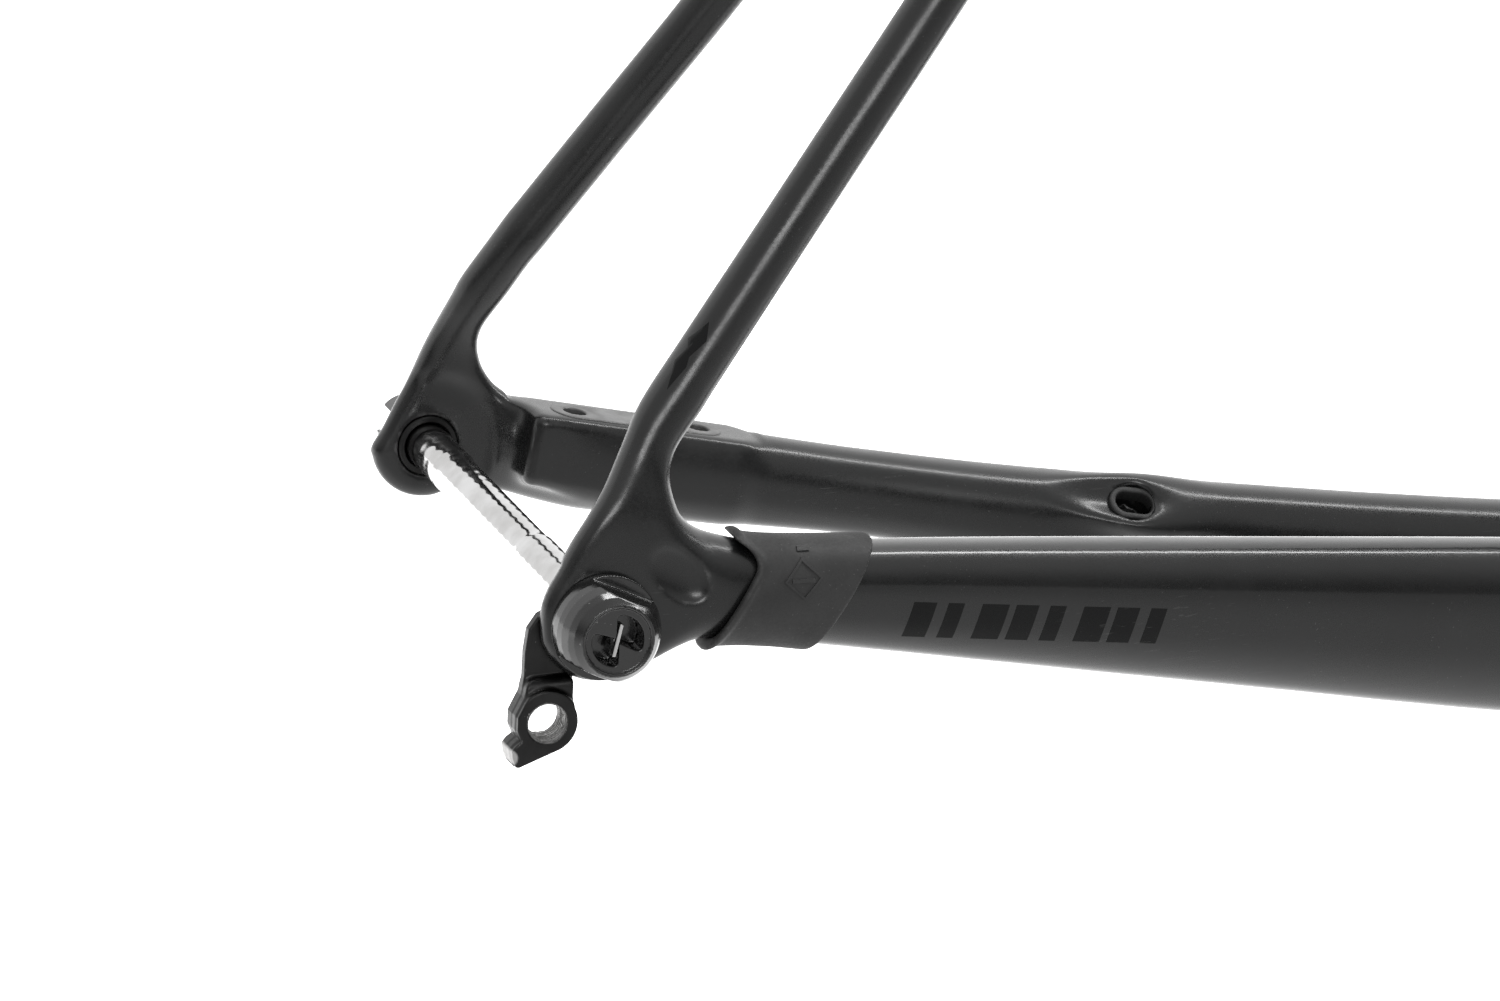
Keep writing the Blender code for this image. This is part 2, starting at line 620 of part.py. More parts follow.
def build_dropout_roots(body, side, mats, label):
    """The two roots that carry the sections of the stays down into the dropout's plate."""
    plate = side * (DROPOUT_OUTER - 2.6)
    rise = 1.0 if side < 0 else -2.5
    lean = 10.4 if side < 0 else 8.0
    neck = 7.6 if side < 0 else 5.9
    lower = ((*at_axle(6.0, plate, rise), 8.0, 2.2), (*at_axle(20.0, side * 74.5, rise + 1.8), 10.6, 4.2))
    upper = ((*at_axle(-3.5, plate, 13.0), 8.0, 2.2), (*at_axle(lean, side * 72.5, 34.0), neck, 4.4))
    runs = (("lower", lower, chainstay_sweep(side)), ("upper", upper, seatstay_sweep(side)))
    for place, points, sweep in runs:
        join(body, root_solid("root_%s_%s" % (place, label), points, sweep, mats))
        cut(body, root_trim("trim_%s_%s" % (place, label), sweep, mats))


def build_dropouts(mats):
    inner = HUB_HALF_WIDTH
    for side, label in ((-1, "right"), (1, "left")):
        low = inner if side > 0 else -DROPOUT_OUTER
        high = DROPOUT_OUTER if side > 0 else -inner
        body = prism("dropout_" + label, dropout_outline(side), low, high, AXLE, mats["carbon"])
        build_dropout_roots(body, side, mats, label)
        clearance = rod("hub_clearance_" + label, 16.5, -60.0, inner, AXLE, LATERAL * side, mats["carbon"])
        cut(body, clearance)
        if side < 0:
            seat = HUB_HALF_WIDTH + HANGER_PLATE + GAP
            cut(body, rod("nut_hole", NUT_BARREL_RADIUS + GAP, 60.0, 90.0, AXLE, -LATERAL, mats["carbon"]))
            recess = prism("hanger_recess", hanger_outline(GAP), -seat, -40.0, AXLE, mats["carbon"])
            cut(body, recess)
        else:
            cut(body, rod("bushing_hole", 8.3, 60.0, 90.0, AXLE, LATERAL, mats["carbon"]))
            cut(body, rod("endcap_recess", 10.2, 60.0, inner + 1.0, AXLE, LATERAL, mats["carbon"]))
            cut(body, *(bpy.data.objects[name] for name in ("brake_land", "brake_pocket", "brake_stay_hole_rear")))
            tube_ring("dropout_bushing_left", AXLE_RADIUS + GAP, 8.0, inner + 1.3, DROPOUT_OUTER, AXLE,
                      LATERAL, mats["black_metal"])


def hanger_outline(offset=0.0):
    """Disc round the axle, arm down to the derailleur hole, ring and stop tab."""
    disc = 12.0 + offset
    ring = HANGER_RING_RADIUS + offset
    points = arc((0.0, 0.0), disc, -115.0, 160.0, 20)
    points += [(-17.6 - offset, -1.0), (-18.8 - offset, -14.0)]
    points += arc(HANGER_HOLE, ring, 165.0, 215.0, 4)
    points += [(-24.2 - offset, -31.2), (-22.3 - offset, -34.9 - offset), (-18.0, -34.2 - offset)]
    points += arc(HANGER_HOLE, ring, 262.0, 385.0, 9)
    points += [(-6.9 + offset, -15.5)]
    return points


def build_hanger(mats):
    inner = HUB_HALF_WIDTH
    hanger = prism("derailleur_hanger", hanger_outline(), -inner - HANGER_PLATE, -inner, AXLE, mats["black_metal"])
    hole = (AXLE_X + HANGER_HOLE[0], 0.0, AXLE_Z + HANGER_HOLE[1])
    join(hanger, rod("hanger_ring", HANGER_RING_RADIUS - 0.1, inner + 1.0, DROPOUT_OUTER, hole, -LATERAL,
                     mats["black_metal"]))
    cut(hanger, rod("hanger_hole", HANGER_HOLE_RADIUS, 60.0, 90.0, hole, -LATERAL, mats["black_metal"]))
    cut(hanger, rod("hanger_nut_hole", NUT_BARREL_RADIUS + GAP, 60.0, 90.0, AXLE, -LATERAL, mats["black_metal"]))


def rounded_slot(length, width, tilt):
    """Outline of a straight slot whose long way leans forward of upright by the tilt."""
    half = length / 2.0
    side = width / 2.0
    corners = ((-half, -side), (half, -side), (half, side), (-half, side))
    lean = (math.sin(tilt), math.cos(tilt))
    return [(u * lean[0] + v * lean[1], u * lean[1] - v * lean[0]) for u, v in corners]


def build_nut(mats):
    inner = HUB_HALF_WIDTH + GAP
    flange = DROPOUT_OUTER + GAP
    profile = ((NUT_POCKET_RADIUS, inner), (NUT_BARREL_RADIUS, inner), (NUT_BARREL_RADIUS, flange),
               (NUT_FLANGE_RADIUS, flange), (NUT_FLANGE_RADIUS, flange + 2.0), (13.3, flange + 4.6),
               (12.5, flange + 7.6), (11.0, flange + 10.4), (9.2, NUT_FACE - 0.4), (8.7, NUT_FACE),
               (NUT_POCKET_RADIUS, NUT_FACE), (NUT_POCKET_RADIUS, NUT_WEB[1]), (0.0, NUT_WEB[1]),
               (0.0, NUT_WEB[0]), (NUT_POCKET_RADIUS, NUT_WEB[0]))
    nut = turned("axle_nut", profile, AXLE, -LATERAL, mats["black_metal"], 36)
    slot = rounded_slot(HAMMER_LENGTH + 1.0, HAMMER_WIDTH + 0.8, HAMMER_TILT)
    cut(nut, prism("nut_slot", slot, -NUT_FACE - 2.0, -NUT_WEB[0] + 2.0, AXLE, mats["black_metal"]))
    normal = Vector((math.sin(FLATS_TILT), 0.0, math.cos(FLATS_TILT)))
    for sign, name in ((1.0, "nut_flat_upper"), (-1.0, "nut_flat_lower")):
        centre = AXLE + normal * sign * (FLATS_DISTANCE + 5.0) - LATERAL * (flange + 11.5)
        cut(nut, box(name, (40.0, 20.0, 10.0), centre, mats["black_metal"], (0.0, FLATS_TILT, 0.0)))


def build_axle(mats):
    end = DROPOUT_OUTER + 2.5
    tip = NUT_WEB[0] - 0.8
    hammer = NUT_WEB[1] + 0.5
    low, high = AXLE_RELIEF
    profile = ((0.0, end), (AXLE_RADIUS, end), (AXLE_RADIUS, high), (AXLE_RELIEF_RADIUS, high - 1.0),
               (AXLE_RELIEF_RADIUS, low + 1.0), (AXLE_RADIUS, low), (AXLE_RADIUS, -tip + 1.0),
               (AXLE_RADIUS - 1.0, -tip), (1.7, -tip), (1.7, -hammer - 1.0), (0.0, -hammer - 1.0))
    axle = turned("thru_axle", profile, AXLE, LATERAL, mats["steel"])
    bar = prism("axle_hammer", rounded_slot(HAMMER_LENGTH, HAMMER_WIDTH, HAMMER_TILT), -hammer - 3.0, -hammer,
                AXLE, mats["steel"])
    join(axle, bar)
    tube_ring("axle_washer", AXLE_RADIUS + 0.5, 10.0, DROPOUT_OUTER + GAP, end, AXLE, LATERAL, mats["black_metal"])
    build_axle_head(mats, end + GAP)


def build_axle_head(mats, low):
    pivot = AXLE + LATERAL * LEVER_PIVOT_Y
    tilt = (0.0, LEVER_TILT, 0.0)
    hinge = Vector((math.sin(LEVER_TILT), 0.0, math.cos(LEVER_TILT)))
    profile = ((0.0, low), (8.1, low), (8.1, 93.2), (7.0, 94.8), (0.0, 94.8))
    head = turned("axle_head", profile, AXLE, LATERAL, mats["black_metal"])
    slot = box("axle_head_slot", (30.0, 20.0, 6.6), AXLE + LATERAL * 95.0, mats["black_metal"], tilt)
    cut(head, slot, rod("axle_head_pin_hole", 2.3, -12.0, 12.0, pivot, hinge, mats["black_metal"], 16))
    rod("axle_lever_pin", 2.0, -7.4, 7.4, pivot, hinge, mats["steel"], 16)
    lever = lever_blade(pivot, mats)
    lever.rotation_euler = tilt
    cut(lever, rod("lever_pin_hole", 2.3, -12.0, 12.0, pivot, hinge, mats["black_metal"], 16))


def lever_blade(pivot, mats):
    """A flat lever: a round cam end on the pin and a slightly bowed arm."""
    outline = arc((0.0, 0.0), 4.8, 75.0, 285.0, 12)
    outline += [(10.0, -2.2), (30.0, -2.6), (LEVER_LENGTH, -5.0), (LEVER_LENGTH + 2.5, -3.0)]
    outline += [(LEVER_LENGTH + 1.0, 0.0), (30.0, 3.0), (10.0, 4.4)]
    bm = bmesh.new()
    lower = [bm.verts.new((x, y, -3.0)) for x, y in outline]
    upper = [bm.verts.new((x, y, 3.0)) for x, y in outline]
    bridge(bm, lower, upper)
    bm.faces.new(lower)
    bm.faces.new(list(reversed(upper)))
    return finish_object("axle_lever", bm, mats["black_metal"], pivot)


def build_guard(mats):
    """A rubber chain guard that clips round the right chainstay, open along the wheel side."""
    sweep = chainstay_sweep(-1)
    segments = 18
    opening = math.radians(56.0)
    bm = bmesh.new()
    origin = Vector(at_axle(52.0, -69.0, 2.0))
    rings = []
    for k in range(6):
        share = k / 5.0
        middle = GUARD_REAR[0] * (1.0 - share) + GUARD_FRONT[0] * share
        lean = GUARD_REAR[1] * (1.0 - share) + GUARD_FRONT[1] * share
        thick = GUARD_OUTSIDE + (0.6 if k == 0 else 0.0)
        ring = []
        for offset, order in ((thick, 1), (GAP + 0.1, -1)):
            spread = (2.0 * math.pi - opening) / segments
            angles = [opening / 2.0 - math.pi + spread * i for i in range(segments + 1)]
            for angle in angles[::order]:
                x = AXLE_X + max(middle + lean * math.sin(angle), GUARD_LIMIT)
                ring.append(bm.verts.new(sweep.point(sweep.place_at(x), angle, offset) - origin))
        rings.append(ring)
    for first, second in zip(rings, rings[1:]):
        bridge(bm, first, second)
    bm.faces.new(rings[0])
    bm.faces.new(list(reversed(rings[-1])))
    return finish_object("chainstay_guard", bm, mats["rubber"], origin)


def build_front_derailleur_mount(mats):
    """A slotted tab with two small screws on the drive side of the seat tube."""
    along = UP_SEAT * 140.0
    centre = along - LATERAL * (19.0 + 1.8)
    tilt = (0.0, math.radians(-90.0) + FRAME_ANGLE, 0.0)
    tab = box("front_derailleur_mount", (16.0, 3.0, 40.0), centre, mats["black_metal"], tilt)
    for offset, name in ((-12.0, "lower"), (12.0, "upper")):
        place = centre + UP_SEAT * offset
        cut(tab, rod("fd_hole_" + name, 2.6, -6.0, 6.0, place, -LATERAL, mats["black_metal"], 16))
        profile = ((0.0, -1.4), (2.2, -1.4), (2.2, 1.8), (4.2, 1.8), (4.2, 3.6), (0.0, 4.4))
        turned("front_derailleur_screw_" + name, profile, place, -LATERAL, mats["steel"], 16)


def main():
    clear_scene()
    mats = make_materials()
    build_bottom_bracket(mats)
    build_head_tube(mats)
    build_seat_tube(mats)
    build_seat_clamp(mats)
    build_main_tubes(mats)
    build_stays(mats)
    build_dropouts(mats)
    build_hanger(mats)
    build_nut(mats)
    build_axle(mats)
    build_guard(mats)
    build_front_derailleur_mount(mats)


main()
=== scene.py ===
"""Looks of the disc-brake road frame: a carbon skin over the CAD tubes, detailed fittings and studio light.

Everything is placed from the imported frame, in metres. Sizes that the frame doesn't give are named here.
"""
import json
import math

import bmesh
import bpy
import numpy as np
import openvdb
from mathutils import Matrix, Vector


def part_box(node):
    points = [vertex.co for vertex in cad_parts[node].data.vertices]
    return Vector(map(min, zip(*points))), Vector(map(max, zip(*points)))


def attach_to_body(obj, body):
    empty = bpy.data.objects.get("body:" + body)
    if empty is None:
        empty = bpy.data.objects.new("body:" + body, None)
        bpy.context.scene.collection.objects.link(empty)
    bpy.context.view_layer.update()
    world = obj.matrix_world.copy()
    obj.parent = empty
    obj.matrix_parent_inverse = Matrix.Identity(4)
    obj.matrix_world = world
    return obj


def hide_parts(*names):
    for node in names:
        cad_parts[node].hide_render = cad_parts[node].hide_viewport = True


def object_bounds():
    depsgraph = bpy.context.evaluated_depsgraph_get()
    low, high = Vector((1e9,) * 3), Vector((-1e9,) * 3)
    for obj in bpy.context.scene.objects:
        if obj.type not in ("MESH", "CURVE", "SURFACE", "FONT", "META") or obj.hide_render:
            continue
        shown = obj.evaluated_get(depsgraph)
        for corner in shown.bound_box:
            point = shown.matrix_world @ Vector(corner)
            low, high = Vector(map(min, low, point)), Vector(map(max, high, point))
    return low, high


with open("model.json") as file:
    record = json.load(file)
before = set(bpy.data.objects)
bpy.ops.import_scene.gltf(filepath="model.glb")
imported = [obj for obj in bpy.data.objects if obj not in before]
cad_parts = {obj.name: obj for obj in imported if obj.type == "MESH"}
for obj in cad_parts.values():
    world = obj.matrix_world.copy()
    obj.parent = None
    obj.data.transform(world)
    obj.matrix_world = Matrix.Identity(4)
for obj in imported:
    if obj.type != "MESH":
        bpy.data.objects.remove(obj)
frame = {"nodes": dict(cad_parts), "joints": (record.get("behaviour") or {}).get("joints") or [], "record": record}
cad_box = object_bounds()
nodes = frame["nodes"]
mounts = {mount["name"]: mount for mount in frame["record"]["mounts"]}
joints = {joint["name"]: joint for joint in frame["joints"]}

MM = 0.001
AXLE = np.array(joints["axle_turn"]["pos_m"])
LATERAL = np.array([0.0, 1.0, 0.0])
UPRIGHT = np.array([0.0, 0.0, 1.0])
FORWARD = np.array([1.0, 0.0, 0.0])
SEAT_UP = np.array(mounts["seat_tube_top"]["axis"])
SIGN = {"right": -1.0, "left": 1.0}

# Camera: direction and distance from the rear axle, and how far the picture's centre is from the axle.
CAMERA_AZIMUTH = math.radians(-18.43)
CAMERA_ELEVATION = math.radians(18.29)
CAMERA_DISTANCE = 2.3
CAMERA_LENS_MM = 217.0
PICTURE_CENTRE_RIGHT = 0.0612
PICTURE_CENTRE_UP = 0.0073

# Studio: how bright the world is in front, behind and above, the floor, and each light as its name,
# its place from LIGHT_CENTRE, its size and its watts.
WORLD_DIM = 0.1
WORLD_BRIGHT = 1.3
WORLD_ABOVE = 0.75
FLOOR_DROP = 0.35
FLOOR_REACH = 30.0
FLOOR_GREY = (0.5, 0.5, 0.5, 1.0)
WHITE = (1.0, 1.0, 1.0, 1.0)
LIGHT_CENTRE = AXLE + np.array([0.12, 0.0, 0.05])
LIGHTS = (
    ("light_top", (0.6, 0.02, 1.0), (0.14, 2.0), 15.0),
    ("light_front", (-0.2, -2.4, 0.68), (1.0, 0.5), 15.0),
)

# How square the sections of the stays are, where their skins are parted, and how far back and to the sides
# the main piece of the skin reaches.
CHAINSTAY_POWER = 2.5
SEATSTAY_POWER = 2.1
CHAIN_SPLIT = {"right": 50.0 * MM, "left": 100.0 * MM}
SEAT_SPLIT = 88.0 * MM
SEAT_END_SPLIT = 392.0 * MM
SHELL_SPLIT_X = -75.0 * MM
SHELL_SPLIT_TOP = 120.0 * MM
MAIN_REAR = -235.0 * MM
MAIN_SIDE = 58.0 * MM

# Outlines of the dropouts beside the stays, (forward, up) of the axle in millimetres.
DROPOUTS = {
    "right": {
        "boss": (15.2, 190.0, 300.0),
        "lower": ((13.0, -11.6), (19.9, -9.0), (26.0, -7.8)),
        "crotch": ((31.1, 17.8), (26.2, 20.4), (22.3, 24.4), (20.5, 29.2), (19.9, 33.7), (20.8, 37.9),
                   (23.0, 41.9)),
        "rear": ((13.5, 51.7), (8.4, 42.8), (3.0, 34.0), (-2.5, 26.5), (-6.6, 20.7), (-10.4, 14.1),
                 (-13.3, 9.4), (-15.0, 4.5)),
    },
    "left": {
        "boss": (14.5, 180.0, 290.0),
        "lower": ((12.0, -12.6), (20.2, -14.2), (26.0, -16.0)),
        "crotch": ((30.4, 9.3), (26.4, 9.7), (22.5, 11.5), (18.1, 15.2), (15.2, 19.7), (13.8, 24.1),
                   (13.5, 28.2), (14.4, 32.2), (16.7, 36.4), (20.1, 41.5)),
        "rear": ((9.6, 47.7), (6.1, 40.6), (2.8, 33.1), (-0.9, 25.0), (-4.5, 17.4), (-8.2, 10.9),
                 (-11.4, 5.0)),
    },
}

# Dropouts: the rounding of the plate's rim, where the seatstay starts to lean in, the radii of the clearance
# for the hub, of the holes for the nut and the bushing and of the end cap's seat, and the right one's scoop.
PLATE_ROUND = 5.5 * MM
LEAN_START = 19.0 * MM
HUB_CLEARANCE = 17.5 * MM
NUT_HOLE = 8.5 * MM
BUSHING_HOLE = 8.2 * MM
END_CAP_SEAT = 10.3 * MM
SCOOP_CENTRE = np.array([19.4, -80.0, 11.8]) * MM
SCOOP_SIZE = (10.0 * MM, 6.0 * MM, 2.2 * MM)
SCOOP_TILT = math.radians(-46.0)

# How far short of the axes that they meet the seat tube and the down tube end, and the radii of the bores for
# the bottom bracket, the seatpost, the steerer and the lower headset bearing, in millimetres.
JOINT_MARGIN = 9.0 * MM
SHELL_BORE = 20.7
POST_BORE = 13.6
STEERER_BORE = 20.8
HEADSET_SEAT = 26.3

# The brake's two bolt holes: the distance between them and their radii in the stay and in the facing pad.
BRAKE_SPAN = 34.7 * MM
BRAKE_STAY_HOLE = 3.5 * MM
BRAKE_PAD_HOLE = 3.1 * MM

# Nut of the axle, (radius, height from the middle plane) in millimetres, the two openings in its face in
# degrees, and its wrench flats.
NUT_PROFILE = np.array([
    (7.9, 71.4), (8.1, 71.2), (8.1, 79.2), (13.4, 79.2), (13.65, 79.5), (13.65, 81.2), (13.45, 83.6),
    (12.9, 86.0), (12.0, 88.2), (10.9, 90.0), (9.7, 91.4), (9.3, 91.9), (8.8, 92.0), (8.5, 91.75),
    (8.3, 91.35), (0.0, 91.35), (-4.0, 91.35), (-4.0, 83.9), (0.0, 83.9), (6.6, 83.9), (6.8, 83.7),
    (6.8, 71.4)]) * MM
NUT_SECTORS = ((-29.0, 86.0), (160.0, 266.0))
NUT_SECTOR_RADIUS = 6.7 * MM
FLATS_TILT = math.radians(26.0)
FLATS_DISTANCE = 10.3 * MM

# Derailleur hanger: middle of its hole, (forward, up) of the axle, its lug's radius and the thread.
HANGER_HOLE = (-14.4 * MM, -24.1 * MM)
HANGER_RING = 8.0 * MM
THREAD_PITCH = 1.0 * MM

# Guard on the right chainstay: each slanted end as its place, its slope and how much its top curves.
GUARD_REAR = (33.6, 0.66, -137.0)
GUARD_FRONT = (64.6, 0.68, 60.0)
GUARD_THICK = 1.75 * MM

# Turned fittings: corners of a full turn, and the millimetres between the axle's rings.
ROUND_SEGMENTS = 72
AXLE_RING_PITCH = 4.95


# ---------------------------------------------------------------- camera, floor and light

def camera_axes():
    """Right, up and backward directions of the camera."""
    right = np.array([math.cos(CAMERA_AZIMUTH), math.sin(CAMERA_AZIMUTH), 0.0])
    backward = np.array([math.sin(CAMERA_AZIMUTH) * math.cos(CAMERA_ELEVATION),
                         -math.cos(CAMERA_AZIMUTH) * math.cos(CAMERA_ELEVATION),
                         math.sin(CAMERA_ELEVATION)])
    return right, np.cross(backward, right), backward


def make_camera():
    right, up, backward = camera_axes()
    aim = AXLE + right * PICTURE_CENTRE_RIGHT + up * PICTURE_CENTRE_UP
    data = bpy.data.cameras.new("camera")
    data.lens = CAMERA_LENS_MM
    data.sensor_width = 36.0
    data.clip_end = 100.0
    camera = bpy.data.objects.new("camera", data)
    rotation = Matrix(np.column_stack((right, up, backward)).tolist())
    camera.matrix_world = Matrix.Translation(Vector(aim + backward * CAMERA_DISTANCE)) @ rotation.to_4x4()
    bpy.context.scene.collection.objects.link(camera)
    bpy.context.scene.camera = camera


def area_light(name, place, aim, size, power):
    data = bpy.data.lights.new(name, "AREA")
    data.shape = "RECTANGLE"
    data.size, data.size_y = size
    data.energy = power
    light = bpy.data.objects.new(name, data)
    light.location = place
    light.rotation_euler = (Vector(place) - Vector(aim)).to_track_quat("Z", "Y").to_euler()
    bpy.context.scene.collection.objects.link(light)


def split_place(tree, kind):
    """The X, Y and Z of a texture coordinate."""
    place = tree.nodes.new("ShaderNodeTexCoord")
    split = tree.nodes.new("ShaderNodeSeparateXYZ")
    tree.links.new(place.outputs[kind], split.inputs["Vector"])
    return split.outputs


def make_world():
    """A studio that is white behind and above the object and dim on the camera's side."""
    world = bpy.data.worlds.new("studio")
    world.use_nodes = True
    tree = world.node_tree
    background = tree.nodes["Background"]
    place = split_place(tree, "Generated")
    behind = map_range(tree, place["Y"], -0.35, 0.35, WORLD_DIM, WORLD_BRIGHT)
    above = map_range(tree, place["Z"], -0.12, 0.6, 0.0, WORLD_ABOVE)
    level = math_node(tree, "MAXIMUM", behind, above)
    background.inputs["Color"].default_value = WHITE
    tree.links.new(level, background.inputs["Strength"])
    bpy.context.scene.world = world
    bpy.context.scene.view_settings.view_transform = "Standard"


def map_range(tree, value, low, high, start, end):
    node = tree.nodes.new("ShaderNodeMapRange")
    node.interpolation_type = "SMOOTHSTEP"
    for name, number in (("From Min", low), ("From Max", high), ("To Min", start), ("To Max", end)):
        node.inputs[name].default_value = number
    tree.links.new(value, node.inputs["Value"])
    return node.outputs["Result"]


def math_node(tree, operation, first, second):
    node = tree.nodes.new("ShaderNodeMath")
    node.operation = operation
    for socket, value in zip(node.inputs, (first, second)):
        if isinstance(value, (int, float)):
            socket.default_value = value
        else:
            tree.links.new(value, socket)
    return node.outputs["Value"]


def make_studio():
    """The world, a plain pale floor that glows towards the back, and the lights."""
    make_world()
    mesh = bpy.data.meshes.new("floor")
    corners = [(x * FLOOR_REACH, y * FLOOR_REACH, 0.0) for x, y in ((-1, -1), (1, -1), (1, 1), (-1, 1))]
    mesh.from_pydata(corners, [], [(0, 1, 2, 3)])
    floor = bpy.data.objects.new("floor", mesh)
    floor.location = (0.0, 0.0, float(cad_box[0][2]) - FLOOR_DROP)
    material = bpy.data.materials.new("floor")
    material.use_nodes = True
    shader = material.node_tree.nodes["Principled BSDF"]
    shader.inputs["Base Color"].default_value = FLOOR_GREY
    shader.inputs["Roughness"].default_value = 0.9
    shader.inputs["Emission Color"].default_value = WHITE
    tree = material.node_tree
    place = split_place(tree, "Object")
    near = map_range(tree, place["Y"], -0.8, 0.1, 0.05, 0.9)
    far = map_range(tree, place["Y"], 0.1, 0.7, 0.0, 0.8)
    tree.links.new(math_node(tree, "ADD", near, far), shader.inputs["Emission Strength"])
    mesh.materials.append(material)
    bpy.context.scene.collection.objects.link(floor)
    for name, place, size, power in LIGHTS:
        area_light(name, LIGHT_CENTRE + np.array(place), LIGHT_CENTRE, size, power)


# ---------------------------------------------------------------- distances of shapes

def unit(vector):
    return np.asarray(vector, dtype=float) / np.linalg.norm(vector)


def smoothstep(value, low, high):
    share = np.clip((value - low) / (high - low), 0.0, 1.0)
    return share * share * (3.0 - 2.0 * share)


def smooth_min(a, b, reach):
    share = np.clip(0.5 + 0.5 * (b - a) / reach, 0.0, 1.0)
    return b * (1.0 - share) + a * share - reach * share * (1.0 - share)


def smooth_max(a, b, reach):
    return -smooth_min(-a, -b, reach)


def oval_distance(u, v, width, height, power):
    radius = np.sqrt(u * u + v * v) + 1e-9
    share = (np.abs(u / width) ** power + np.abs(v / height) ** power) ** (1.0 / power)
    return radius * (1.0 - 1.0 / np.maximum(share, 1e-4))


def cylinder_distance(points, centre, axis, radius, low, high, edge=0.01 * MM):
    """A cylinder about an axis, from low to high along it, with a rounded edge."""
    local = points - centre
    along = local @ axis
    away = np.linalg.norm(local - along[:, None] * axis, axis=1)
    return smooth_max(away - radius, np.abs(along - (low + high) / 2) - (high - low) / 2, edge)


def ellipsoid_distance(points, centre, axes, sizes):
    local = (points - centre) @ np.array(axes).T / np.array(sizes)
    radius = np.linalg.norm(local, axis=1) + 1e-9
    return (radius - 1.0) * min(sizes)


def box_distance(local, half, edge):
    """A box about the origin of local coordinates, with rounded edges."""
    away = np.abs(local) - (np.array(half) - edge)
    outside = np.linalg.norm(np.maximum(away, 0.0), axis=1)
    return outside + np.minimum(away.max(axis=1), 0.0) - edge


def bored(body, points, centre, axis, radius, low, high, blend, edge=0.01 * MM):
    """A body with a round bore along an axis, from low to high, and a blended rim."""
    return smooth_max(body, -cylinder_distance(points, centre, axis, radius, low, high, edge), blend)


def closed_curve(points, steps):
    """A smooth closed curve through points, as many steps between each two."""
    points = np.array(points)
    before, after, far = np.roll(points, 1, axis=0), np.roll(points, -1, axis=0), np.roll(points, -2, axis=0)
    rows = []
    for t in np.arange(steps) / steps:
        rows.append(0.5 * (2 * points + (after - before) * t
                           + (2 * before - 5 * points + 4 * after - far) * t * t
                           + (3 * points - before - 3 * after + far) * t ** 3))
    return np.stack(rows, axis=1).reshape(-1, 2)


def outline_distance(places, outline):
    """Signed distance from a closed polygon, negative inside. Both are (count, 2)."""
    result = np.empty(len(places))
    a = outline.astype(np.float32)
    edge = np.roll(a, -1, axis=0) - a
    size = (edge * edge).sum(axis=1)
    rise = np.where(np.abs(edge[:, 1]) < 1e-12, 1e-12, edge[:, 1])
    for first in range(0, len(places), 20000):
        part = places[first:first + 20000].astype(np.float32)
        du = part[:, :1] - a[:, 0]
        dv = part[:, 1:] - a[:, 1]
        share = np.clip((du * edge[:, 0] + dv * edge[:, 1]) / size, 0.0, 1.0)
        away = (du - edge[:, 0] * share) ** 2 + (dv - edge[:, 1] * share) ** 2
        crosses = ((dv < 0.0) != (dv - edge[:, 1] < 0.0)) & (du < edge[:, 0] * dv / rise)
        sign = np.where(crosses.sum(axis=1) % 2 == 1, -1.0, 1.0)
        result[first:first + 20000] = sign * np.sqrt(away.min(axis=1))
    return result


def mesh_points(mesh):
    points = np.zeros(len(mesh.vertices) * 3)
    mesh.vertices.foreach_get("co", points)
    return points.reshape(-1, 3)


def mesh_pairs(mesh):
    pairs = np.zeros(len(mesh.edges) * 2, dtype=int)
    mesh.edges.foreach_get("vertices", pairs)
    return pairs.reshape(-1, 2)


def node_points(name):
    return mesh_points(nodes[name].data)


